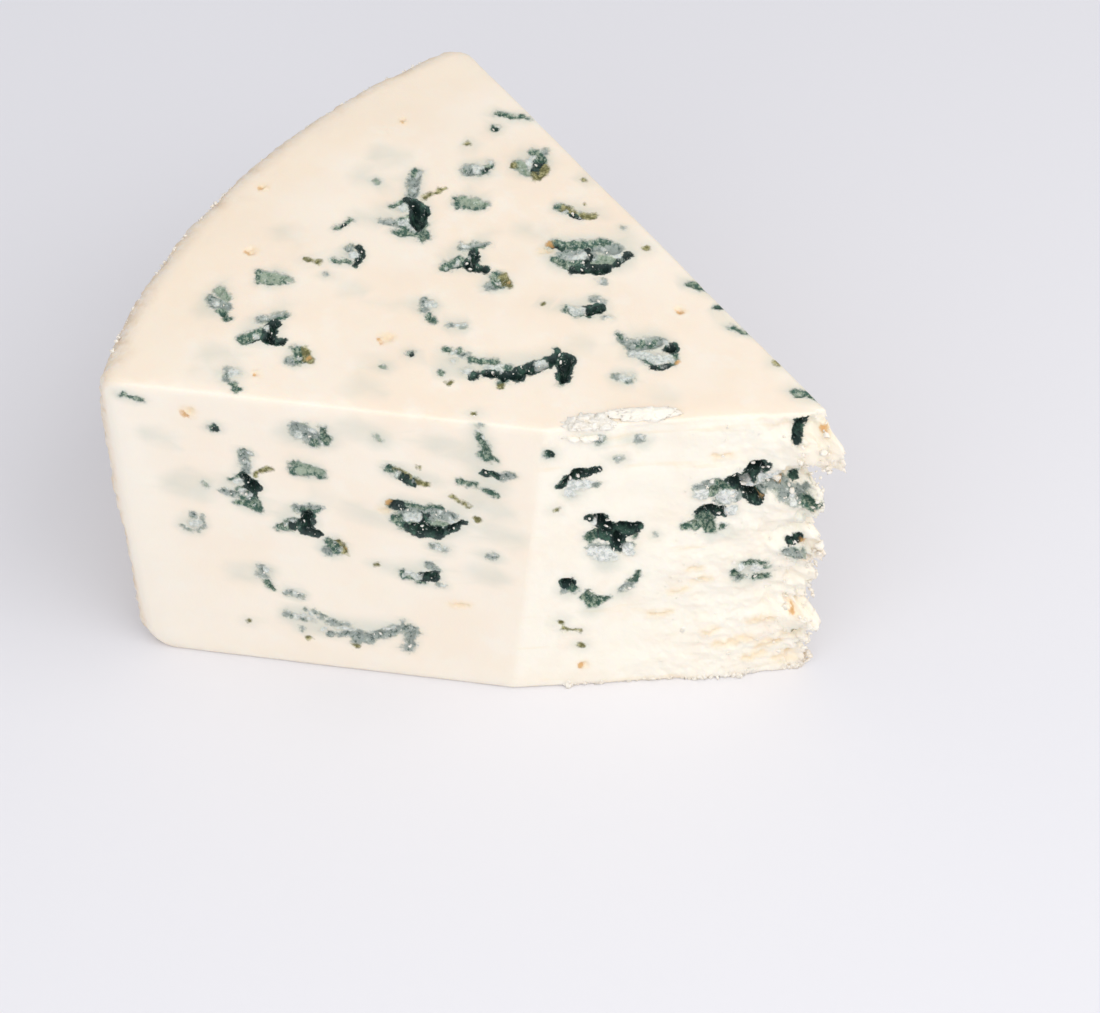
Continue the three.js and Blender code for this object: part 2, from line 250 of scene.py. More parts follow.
    ORANGE_DOT = strokes((OCHRE, 0.0, 0.0, 0.4), (BUTTER, 0.3, 0.2, 0.7))
    BUTTER_MARK = strokes((BUTTER, -1.0, 0.0, 1.0, 0.2, 0.5, 0.4))
    OLIVE_STAIN = strokes((HAZE, 0.0, 0.0, 1.1), (OLIVE, 0.0, 0.0, 0.4))
    EDGE_STREAK = strokes(
        (HAZE, -2.4, 0.4, 2.6, -0.6, 0.9, 0.8), (GREEN, -1.4, 0.2, 2.8, -0.7, 0.5, 0.25),
    )
    BITE = strokes(
        (HAZE, -0.6, -3.0, 1.2), (DARK, -2.4, -1.3, -0.2, 0.9, 0.45, 0.8),
        (DARK, -0.2, 0.9, 2.3, 1.4, 0.7, 0.35), (PALE, -0.6, -1.4, 1.2, -0.9, 0.8, 0.8),
        (SLATE, 0.2, -0.8, 0.6), (PALE, -1.2, -2.6, 0.7), (SLATE, 2.2, -1.4, 0.4),
    )
    GROTTO = strokes(
        (SLATE, -2.4, -2.6, 1.8, -3.2, 0.8, 0.8), (HAZE, -0.6, -6.0, 1.6),
        (DARK, -3.5, 2.9, -2.6, 3.0, 0.35, 0.4), (DARK, -2.0, 3.0, -0.9, 1.4, 0.7, 1.1),
        (DARK, -0.3, 0.2, 2.6, 0.2, 1.5, 1.1), (GREEN, -2.9, -0.8, -2.2, 0.4, 0.8, 0.7),
        (DARK, 0.6, -1.6, 0.8, -3.2, 0.9, 0.5), (GREEN, 1.0, -0.6, 0.7), (GREEN, 2.8, -1.2, 0.5),
        (PALE, -2.2, -3.4, -0.8, -4.4, 1.1, 1.2), (PALE, 2.2, -3.8, 0.9), (SLATE, 2.6, -3.0, 0.5),
        (PALE, -2.4, 2.2, 0.5),
    )
    PAIR = strokes(
        (HAZE, 3.2, -5.0, 1.4), (HAZE, 0.0, -1.0, 1.5), (DARK, 0.0, 0.4, 1.0), (GREEN, 0.6, -0.8, 0.7),
        (SLATE, -0.6, -0.8, 0.6), (GREEN, 2.6, -2.4, 3.2, -3.6, 0.9, 0.9),
        (GREEN, 3.4, -3.4, 5.0, -3.0, 0.7, 0.5), (SLATE, 2.6, -1.6, 0.5),
    )
    CHASM = strokes(
        (GREEN, 0.0, 3.0, -4.6, 0.8, 0.8, 0.9), (SLATE, -3.4, -1.0, 1.4, 0.6, 1.0, 0.8),
        (SLATE, 1.6, 2.0, 5.0, 0.2, 0.9, 0.7), (BUTTER, 0.2, 0.4, 4.4, 2.4, 0.6, 0.4),
        (HAZE, 7.2, -4.6, 1.4), (HAZE, -4.5, -7.5, -2.0, -7.5, 1.0, 0.8), (DARK, 0.9, 4.4, 1.5),
        (DARK, -2.0, 2.4, -0.8, 2.0, 1.2, 1.2), (DARK, -0.6, 0.8, 0.8, -1.2, 0.8, 0.9),
        (GREEN, -0.4, 3.6, 1.6, 3.2, 0.6, 0.6), (GREEN, -3.8, 2.4, -2.8, 1.4, 0.6, 0.7),
        (SLATE, -6.8, 1.6, -4.2, 2.6, 0.3, 0.5), (DARK, -5.4, -3.2, -3.6, -3.2, 1.2, 0.9),
        (GREEN, -5.6, -4.6, -4.8, -6.4, 1.4, 0.9), (GREEN, -8.2, -5.6, -6.8, -5.6, 0.5, 0.7),
        (PALE, -2.9, -0.6, 1.3), (PALE, -0.2, 1.2, 0.8), (PALE, 1.8, 2.0, 3.4, 2.6, 0.9, 0.8),
        (PALE, -2.2, -3.2, 0.9), (PALE, -6.4, 0.4, 0.9), (OCHRE, 1.2, -0.9, 0.4),
        (OCHRE, 3.6, 1.2, 0.4), (SLATE, 5.0, -0.4, 6.6, -1.2, 1.0, 0.9), (GREEN, 5.8, 1.8, 0.7),
        (DARK, 6.0, 1.4, 0.4), (GREEN, 7.4, -2.0, 9.8, -2.4, 0.8, 0.6), (PALE, 5.6, -1.2, 0.6),
        (GREEN, -3.0, -6.2, 0.4), (SLATE, 7.6, -0.2, 0.6),
    )
    RING = strokes(
        (HAZE, 0.0, -0.6, 2.6), (GREEN, -2.2, -0.2, 0.7), (SLATE, -1.6, -1.2, 0.6),
        (GREEN, -0.8, 1.4, 1.6, 1.7, 0.35, 0.35), (GREEN, 2.0, 0.8, 0.3),
        (GREEN, 0.6, -1.6, 2.0, -1.6, 0.5, 0.45), (PALE, 0.6, 0.3, 1.0), (PALE, -1.3, 0.9, 0.5),
    )
    NICK = strokes(
        (HAZE, 0.0, -1.0, 1.5), (DARK, -0.6, 0.8, 0.4, 1.4, 0.45, 0.4),
        (SLATE, -1.4, -0.4, 0.6, -1.4, 0.5, 0.7), (OCHRE, 0.9, 0.6, 0.4),
    )
    SLOT = strokes((DARK, 0.2, 1.3, -0.3, -1.6, 0.6, 0.35), (PALE, 0.0, 1.3, 0.3))
    SLANT = strokes(
        (HAZE, -1.2, -2.0, 1.0), (GREEN, 1.1, 1.6, 0.4, 0.2, 0.35, 0.4),
        (SLATE, 0.2, -0.2, -1.2, -1.4, 0.5, 0.4),
    )
    WISP = strokes(
        (HAZE, -1.6, 0.4, 0.6, -0.6, 0.6, 0.8), (SLATE, 0.0, 0.0, 0.6), (PALE, 0.1, 0.2, 0.35),
    )


@dataclass(frozen=True)
class Vein:
    """One growth of mould on a face.

    out and over place it by shares of the face's own lengths; size scales its motif, turn rotates it
    in degrees, and fade, from 0 to 1, thins its dark tints to a stain under the surface.
    """

    motif: Motif
    out: float
    over: float
    size: float = 1.0
    turn: float = 0.0
    fade: float = 0.0


def face_veins(*rows: tuple) -> tuple[Vein, ...]:
    """The veins of a face, each from a row: motif, out, over, and perhaps size, turn and fade."""
    return tuple(Vein(*row) for row in rows)


TOP_VEINS = face_veins(
    (Motif.TREE, 0.758, -0.22), (Motif.TRIANGLE, 0.714, -0.44), (Motif.BEAN, 0.755, -0.61),
    (Motif.HOOP, 0.719, -0.81), (Motif.HOOK, 0.645, -0.13), (Motif.OLIVE_BIT, 0.587, -0.10),
    (Motif.CRESCENT, 0.608, -0.76), (Motif.CAVERN, 0.532, -0.58), (Motif.TAIL, 0.463, -0.20),
    (Motif.PUFF, 0.635, 0.27), (Motif.BEADS, 0.590, 0.31), (Motif.KIDNEY, 0.353, -0.14),
    (Motif.BEADS, 0.360, 0.27, 1.2), (Motif.CREVICE, 0.482, 0.45), (Motif.TRIANGLE, 0.843, 0.37),
    (Motif.SMUDGE, 0.888, 0.56), (Motif.HOOK, 0.812, 0.65), (Motif.OLIVE_BIT, 0.756, 0.73),
    (Motif.CURL, 0.775, 0.12), (Motif.DASH, 0.818, -0.01), (Motif.LINE, 0.813, 0.23),
    (Motif.SPECK, 0.785, 0.27, 0.7, 0, 0.6), (Motif.SPECK, 0.623, 0.58),
    (Motif.GHOST, 0.656, 0.69, 0.8, 0, 0.8), (Motif.PUFF, 0.827, 0.92), (Motif.CHIP_OUT, 0.667, 0.52),
    (Motif.CHIP_OUT, 0.897, 0.28, 0.8), (Motif.ORANGE_DOT, 0.952, -0.01),
    (Motif.ORANGE_DOT, 0.898, -0.58, 0.7), (Motif.ORANGE_DOT, 0.800, 0.88, 0.7),
    (Motif.EDGE_STREAK, 0.819, -0.92), (Motif.SPECK, 0.808, -0.83, 1.4),
    (Motif.OLIVE_STAIN, 0.805, -0.69), (Motif.OLIVE_STAIN, 0.654, -0.95, 1.1),
    (Motif.SPECK, 0.544, -0.89, 0.6, 0, 0.4), (Motif.GHOST, 0.850, -0.28, 1.0, 0, 0.5),
    (Motif.ORANGE_DOT, 0.375, -0.66, 0.9, 60), (Motif.EDGE_STREAK, 0.394, -0.98, 1.1, -10),
    (Motif.SPECK, 0.350, -0.95, 1.0), (Motif.EDGE_STREAK, 0.300, -0.96, 0.9, -10),
    (Motif.OLIVE_STAIN, 0.227, -0.94, 1.2), (Motif.EDGE_STREAK, 0.160, -0.90, 1.0, -10),
    (Motif.OLIVE_STAIN, 0.515, 0.92, 0.8), (Motif.VEIL, 0.86, -0.42, 1.3),
    (Motif.VEIL, 0.80, -0.10, 1.0), (Motif.VEIL, 0.875, 0.14, 1.0), (Motif.VEIL, 0.86, 0.80, 1.2),
    (Motif.VEIL, 0.74, 0.30, 0.9), (Motif.VEIL, 0.56, 0.62, 1.2), (Motif.VEIL, 0.66, 0.86, 1.2),
    (Motif.VEIL, 0.43, 0.10, 0.9), (Motif.VEIL, 0.62, -0.50, 1.0), (Motif.VEIL, 0.30, 0.30, 0.9),
)

FRONT_VEINS = face_veins(
    (Motif.EDGE_STREAK, 0.955, 0.955, 0.6), (Motif.SPECK, 0.849, 0.875), (Motif.CLOUD, 0.723, 0.894),
    (Motif.GHOST, 0.649, 0.924, 1.3), (Motif.TRIANGLE, 0.729, 0.763), (Motif.TREE, 0.812, 0.667, 0.8),
    (Motif.HOOK, 0.743, 0.562), (Motif.OLIVE_BIT, 0.700, 0.484), (Motif.CRESCENT, 0.601, 0.779, 1.1),
    (Motif.CAVERN, 0.581, 0.627, 0.92), (Motif.TAIL, 0.587, 0.408),
    (Motif.CREVICE, 0.655, 0.169, 0.95, 0, 0.45), (Motif.PUFF, 0.796, 0.335),
    (Motif.BEADS, 0.760, 0.280), (Motif.BEADS, 0.762, 0.194, 1.4),
    (Motif.CURL, 0.885, 0.514, 0.9, 0, 0.7), (Motif.GHOST, 0.875, 0.678), (Motif.BRANCH, 0.498, 0.865),
    (Motif.WISP, 0.493, 0.517), (Motif.CHIP_OUT, 0.882, 0.925), (Motif.LINE, 0.532, 0.707, 1.1, -15),
    (Motif.BEADS, 0.563, 0.525), (Motif.OLIVE_STAIN, 0.825, 0.149, 0.7),
    (Motif.BUTTER_MARK, 0.536, 0.314), (Motif.VEIL, 0.89, 0.64, 1.5), (Motif.VEIL, 0.92, 0.82, 1.1),
    (Motif.VEIL, 0.50, 0.70, 1.6), (Motif.VEIL, 0.48, 0.60, 1.3), (Motif.VEIL, 0.55, 0.90, 1.4),
    (Motif.VEIL, 0.50, 0.44, 1.2), (Motif.VEIL, 0.66, 0.62, 1.2), (Motif.VEIL, 0.83, 0.33, 1.0),
)

BREAK_VEINS = face_veins(
    (Motif.SPECK, 0.012, 0.911, 1.3), (Motif.BITE, 0.125, 0.817), (Motif.GROTTO, 0.248, 0.606),
    (Motif.PAIR, 0.091, 0.412), (Motif.SLANT, 0.315, 0.405), (Motif.WISP, 0.193, 0.955),
    (Motif.WISP, 0.339, 0.935, 1.1), (Motif.WISP, 0.267, 0.879, 0.8), (Motif.CHASM, 0.733, 0.719),
    (Motif.RING, 0.759, 0.422), (Motif.NICK, 0.914, 0.514), (Motif.SLOT, 0.897, 0.950),
    (Motif.ORANGE_DOT, 0.985, 0.945, 1.2), (Motif.OLIVE_STAIN, 0.062, 0.268),
    (Motif.LINE, 0.100, 0.232), (Motif.OLIVE_STAIN, 0.139, 0.169), (Motif.ORANGE_DOT, 0.144, 0.085),
    (Motif.OLIVE_STAIN, 0.937, 0.187), (Motif.BUTTER_MARK, 0.635, 0.858),
    (Motif.BUTTER_MARK, 0.805, 0.226, 1.2), (Motif.ORANGE_DOT, 0.915, 0.259, 0.9),
    (Motif.BUTTER_MARK, 0.680, 0.141, 1.3), (Motif.BUTTER_MARK, 0.433, 0.272, 1.2),
    (Motif.BUTTER_MARK, 0.582, 0.395), (Motif.BUTTER_MARK, 0.62, 0.20, 0.9, 12),
    (Motif.BUTTER_MARK, 0.75, 0.155, 1.0, -8), (Motif.BUTTER_MARK, 0.84, 0.12, 1.3, 10),
    (Motif.BUTTER_MARK, 0.92, 0.16, 1.0, -10), (Motif.BUTTER_MARK, 0.79, 0.075, 1.2),
    (Motif.BUTTER_MARK, 0.90, 0.06, 1.0, 8), (Motif.BUTTER_MARK, 0.55, 0.44, 0.8, -12),
    (Motif.BUTTER_MARK, 0.50, 0.36, 0.9, 8), (Motif.OLIVE_STAIN, 0.039, 0.704, 0.7),
    (Motif.SPECK, 0.403, 0.581, 0.6, 0, 0.5),
)


def smooth(low: float, high: float, value: np.ndarray) -> np.ndarray:
    """The smooth step from 0 at low to 1 at high.

    Args:
        low: Where the step starts.
        high: Where the step ends.
        value: The values to pass through the step.

    Returns:
        An array of shares from 0 to 1.
    """
    share = np.clip((value - low) / (high - low), 0.0, 1.0)
    return share * share * (3.0 - 2.0 * share)


def grain(points: np.ndarray, spacing: float, octaves: int, seed: float) -> np.ndarray:
    """Fractal noise at each point.

    Args:
        points: Rows of x, y, z, in millimetres.
        spacing: Size of the largest lumps, in millimetres.
        octaves: How many times the noise repeats at half the size.
        seed: Shifts the noise, so that two grains differ.

    Returns:
        One number per point, about 0 and mostly within 1 either way.
    """
    places = (points / spacing + seed).tolist()
    return np.array([noise.fractal(place, 0.9, 2.0, octaves) for place in places])


def put_in_scene(name: str, data: bpy.types.ID) -> bpy.types.Object:
    """Makes an object from a mesh, lamp or camera and links it to the scene."""
    made = bpy.data.objects.new(name, data)
    bpy.context.scene.collection.objects.link(made)
    return made


def sheet(place: np.ndarray) -> np.ndarray:
    """Places on a face as rows of x, y and 0, for a grain that varies over the face alone."""
    return np.column_stack([place, np.zeros(len(place))])


@dataclass
class Face:
    """A flat face of the wedge, with its own right and up directions and its veins."""

    name: str
    origin: np.ndarray
    right: np.ndarray
    up: np.ndarray
    veins: tuple[Vein, ...]
    width: float
    height: float
    ragged: float = 0.4
    undulation: float = 0.16
    cave: float = 1.0
    # How much cooler and whiter the face is painted, as painted light for the light that falls on it.
    painted_light_cooling: float = 0.0

    @property
    def outward(self) -> np.ndarray:
        """The face's outward direction."""
        return np.cross(self.right, self.up)

    def depth(self, points: np.ndarray) -> np.ndarray:
        """How far each point lies below the face, in millimetres."""
        return (self.origin - points) @ self.outward

    def flat(self, points: np.ndarray) -> np.ndarray:
        """Each point's place on the face, in millimetres to the right and up."""
        from_origin = points - self.origin
        return np.stack([from_origin @ self.right, from_origin @ self.up], 1)

    def place(self, vein: Vein) -> np.ndarray:
        """Where a vein's middle is on the face, in millimetres to the right and up."""
        return np.array([vein.out * self.width, vein.over * self.height])

    def relief(self, points: np.ndarray) -> np.ndarray:
        """How far the face stands out at each point before the mould, in millimetres."""
        waves = grain(points, 14.0, 2, 3.1)
        drag = grain(points * np.array([1.0, 1.0, 2.5]), 3.5, 2, 8.4)
        return self.undulation * waves + 0.18 * self.undulation * drag


@dataclass
class TopFace(Face):
    """The top: out is a share of the wheel's radius, over runs from -1 at the back cut to 1."""

    half_angle: float = 0.0

    def place(self, vein: Vein) -> np.ndarray:
        """Where a vein's middle is on the face, in millimetres to the right and up."""
        angle = math.pi + vein.over * self.half_angle
        reach = vein.out * self.width
        point = np.array([math.cos(angle), math.sin(angle), 0.0]) * reach + self.origin
        return self.flat(point[None])[0]


@dataclass
class BrokenFace(Face):
    """The crumbly break. Its far end is ragged, and its foot is flaky and cut under."""

    near_slide: float = 3.9
    far_slide: float = 0.52
    ragged_share: float = 0.3
    undercut: float = 1.09
    shove_depth: float = 14.0
    ledges: tuple[tuple[float, float], ...] = (
        (0.0, -0.8), (0.15, -0.5), (0.23, 1.4), (0.28, -1.4), (0.40, -0.8), (0.51, 1.5), (0.58, -1.6),
        (0.67, 1.4), (0.75, -2.2), (0.79, -1.2), (0.83, 1.6), (0.87, 3.2), (0.90, 3.2), (0.935, 0.4),
        (0.96, -0.5), (1.0, 0.3),
    )

    def spans(self, place: np.ndarray) -> tuple[np.ndarray, np.ndarray]:
        """How far along the break and how far up it each place is, by shares from 0 to 1."""
        share = np.clip(place[:, 0] / self.width, 0.0, 1.0)
        return share, np.clip(place[:, 1] / self.height, 0.0, 1.0)

    def standing(self, place: np.ndarray) -> np.ndarray:
        """How far the break as a whole stands out at each place on it, in millimetres."""
        share, level = self.spans(place)
        ragged = smooth(1.0 - self.ragged_share, 1.0, share)
        wander = 0.035 * grain(sheet(place), 3.0, 4, 1.7)
        rows = np.array(self.ledges)
        reach = np.interp(np.clip(level + wander, 0.0, 1.0), rows[:, 0], rows[:, 1])
        toothed = smooth(0.82, 1.0, share) * smooth(1.02, 0.9, level)
        teeth = 1.6 * grain(sheet(place), 2.0, 5, 6.6) * toothed
        return ragged * (1.1 * reach + teeth) - self.undercut * (1.0 - level) * (1.0 - share)

    def shoved(self, points: np.ndarray) -> np.ndarray:
        """The points near the break, moved with it along whichever cut they lie nearest."""
        place = self.flat(points)
        share, _ = self.spans(place)
        slide = self.near_slide + share * (self.far_slide - self.near_slide)
        amount = self.standing(place) * (1.0 - smooth(0.0, self.shove_depth, self.depth(points)))
        return points + amount[:, None] * (self.outward + slide[:, None] * self.right)

    def relief(self, points: np.ndarray) -> np.ndarray:
        """How far the face stands out at each point before the mould, in millimetres."""
        place = self.flat(points)
        share, level = self.spans(place)
        flat = sheet(place)
        crumbly = 0.1 + 0.9 * smooth(0.4, 1.0, share + 0.3 * (1.0 - level))
        lumps = 0.7 * grain(flat, 3.2, 3, 5.3) + 0.6 * grain(flat, 1.3, 3, 25.3)
        big = grain(flat, 9.0, 2, 2.9)
        flakes = grain(flat * np.array([0.16, 1.0, 1.0]), 1.8, 3, 9.6)
        flaky = smooth(0.25, 0.6, share) * smooth(0.75, 0.4, level)
        step = 0.3 * smooth(0.24, 0.30, share + 0.01 * big)
        rough = crumbly * (0.4 * lumps + 0.2 * flaky * flakes)
        return rough + 0.5 * big * smooth(0.1, 0.4, share) - step


def the_break(faces: list[Face]) -> BrokenFace:
    """The one broken face among the faces."""
    return next(face for face in faces if isinstance(face, BrokenFace))


@dataclass
class RindFace(Face):
    """The curved rind, unrolled: right is the distance along its curve, up is the height."""

    radius: float = 0.0

    def depth(self, points: np.ndarray) -> np.ndarray:
        """How far each point lies inside the rind, in millimetres."""
        return self.radius - np.hypot(points[:, 0] - self.origin[0], points[:, 1])

    def flat(self, points: np.ndarray) -> np.ndarray:
        """Each point's place on the unrolled rind, in millimetres."""
        angle = np.arctan2(points[:, 1], self.origin[0] - points[:, 0])
        return np.stack([-angle * self.radius, points[:, 2]], 1)

    def relief(self, points: np.ndarray) -> np.ndarray:
        """How far the rind stands out at each point, in millimetres."""
        bulges = grain(points, 11.0, 2, 6.2)
        crust = grain(points, 1.6, 4, 4.4)
        return 0.5 * bulges + 0.32 * crust


@dataclass(frozen=True)
class MouldDepths:
    """How deep each tint sinks below its face, in millimetres, and how steep its side is."""

    sink: dict[Tint, float] = field(
        default_factory=lambda: dict(
            zip((DARK, GREEN, SLATE, OLIVE, OCHRE, BUTTER, MOSS), (2.3, 0.75, 0.45, 0.4, 0.3, 0.25, 0.3))
        )
    )
    side: float = 0.7
    pale_rise: float = 0.75
    lumps: float = 0.32


@dataclass
class Slice:
    """The slice's driving sizes, in millimetres, and the faces worked out from them."""

    wheel_radius: float = 101.0
    slice_angle: float = math.radians(48.0)
    front_stub: float = 43.0
    back_stub: float = 12.0
    top_shoulder: float = 3.0
    foot_shoulder: float = 3.6
    rind_tuck: float = 2.2
    corner_round: float = 3.0
    edge_round: float = 0.5
    vein_lay: float = math.radians(33.0)
    seed: int = 7

    def __post_init__(self) -> None:
        """Reads the height and the wheel's axis from the CAD solid."""
        low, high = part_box("cheese_wedge")
        self.height = high.z / MM
        self.axis_x = low.x / MM + self.wheel_radius
        self.half = self.slice_angle / 2.0

    def ray(self, side: float) -> np.ndarray:
        """The direction from the axis along a cut: side is -1 for the front cut, 1 for the back."""
        return np.array([-math.cos(self.half), side * math.sin(self.half), 0.0])

    def axis(self, z: float) -> np.ndarray:
        """The point on the wheel's axis at a height."""
        return np.array([self.axis_x, 0.0, z])

    def shouldered(self, points: np.ndarray) -> np.ndarray:
        """Draws the rim in, so that the wheel is slimmer at its foot and round at its shoulders."""
        z = points[:, 2]
        above = np.clip(z - (self.height - self.top_shoulder), 0.0, self.top_shoulder)
        below = np.clip(self.foot_shoulder - z, 0.0, self.foot_shoulder)
        top = self.top_shoulder - np.sqrt(self.top_shoulder**2 - above**2)
        foot = self.foot_shoulder - np.sqrt(self.foot_shoulder**2 - below**2)
        tuck = self.rind_tuck * np.clip(1.0 - z / self.height, 0.0, 1.0) ** 2
        inset = top + foot + tuck
        out = points[:, :2] - np.array([self.axis_x, 0.0])
        reach = np.linalg.norm(out, axis=1)
        rim = 22.0
        share = np.clip((reach - self.wheel_radius + rim) / rim, 0.0, 1.0)
        scale = 1.0 - inset * share / np.maximum(reach, 1.0)
        drawn = points.copy()
        drawn[:, :2] = np.array([self.axis_x, 0.0]) + out * scale[:, None]
        return drawn

    def corner_planes(self, steps: int = 10) -> list[tuple[np.ndarray, np.ndarray]]:
        """The planes that round off the two upright corners at the rind.

        Args:
            steps: How many flats each corner is rounded with.

        Returns:
            A point on each plane and the plane's outward direction.
        """
        planes = []
        small = self.corner_round
        for side in (-1.0, 1.0):
            cut = np.array([math.sin(self.half), side * math.cos(self.half), 0.0])
            along = math.sqrt((self.wheel_radius - small) ** 2 - small**2)
            middle = self.ray(side) * along - cut * small
            radial = middle / np.linalg.norm(middle)
            for step in range(1, steps):
                share = step / steps
                blend = math.cos(share * math.pi / 2) * cut + math.sin(share * math.pi / 2) * radial
                outward = blend / np.linalg.norm(blend)
                planes.append((self.axis(0.0) + middle + small * outward, outward))
        return planes

    def shaped(self, points: np.ndarray) -> np.ndarray:
        """Moves the plain slice's points onto the shaped slice: its break, rim and shoulders."""
        return self.shouldered(the_break(self.faces()).shoved(points))

    def faces(self) -> list[Face]:
        """The six faces with their veins, the ones that nobody sees with veins of their own."""
        up = np.array([0.0, 0.0, 1.0])
        lay = self.vein_lay
        front, back = self.ray(-1.0), self.ray(1.0)
        start = self.axis(0.0) + front * self.front_stub
        end = self.axis(0.0) + back * self.back_stub
        along = (end - start) / np.linalg.norm(end - start)
        radius, height, foot = self.wheel_radius, self.height, self.axis(0.0)
        width = np.linalg.norm(end - start)
        hidden = random.Random(self.seed)
        back_veins = self.scattered(hidden, 17)
        rind_veins = tuple(
            replace(vein, out=1.1 * (vein.out - 0.56), size=0.7, fade=0.8)
            for vein in self.scattered(hidden, 8)
        )
        base_veins = tuple(
            replace(vein, out=0.5 + 0.45 * vein.out, over=1.7 * vein.over - 0.85)
            for vein in self.scattered(hidden, 12)
        )
        x, y = np.eye(3)[:2]
        right = math.cos(lay) * x + math.sin(lay) * y
        above = math.cos(lay) * y - math.sin(lay) * x
        top = TopFace("top", self.axis(height), right, above, TOP_VEINS, radius, radius, undulation=0.22)
        base = TopFace("base", foot, x, -y, base_veins, radius, radius, undulation=0.0)
        top.half_angle = base.half_angle = self.half
        return [
            top,
            # The front cut gets painted light: it is painted cooler and whiter than the top.
            Face("front cut", foot, -front, up, FRONT_VEINS, -radius, height, painted_light_cooling=0.5),
            Face("back cut", foot, back, up, back_veins, radius, height),
            BrokenFace("break", start, along, up, BREAK_VEINS, width, height, cave=1.5),
            RindFace("rind", foot, -y, up, rind_veins, radius, height, radius=radius),
            base,
        ]

    def scattered(self, dice: random.Random, count: int) -> tuple[Vein, ...]:
        """Veins spread over a cut face in a loose grid.

        Args:
            dice: The seeded source of chance.
            count: How many veins to spread.

        Returns:
            The veins.
        """
        grown = (
            Motif.TREE, Motif.HOOK, Motif.OLIVE_BIT, Motif.CAVERN, Motif.TRIANGLE,
            Motif.TAIL, Motif.PUFF, Motif.CRESCENT, Motif.SPECK, Motif.BEADS,
        )
        veins = []
        for index in range(count):
            out = 0.22 + 0.68 * (index + 0.5 + 0.3 * dice.uniform(-1, 1)) / count
            over = (0.2 + 0.618 * index + 0.1 * dice.uniform(-1, 1)) % 0.8 + 0.1
            motif = grown[index % len(grown)]
            size = dice.uniform(0.75, 1.05)
            veins.append(Vein(motif, out, over, size, dice.uniform(-40, 40), dice.choice((0, 0, 0.5))))
        return tuple(veins)


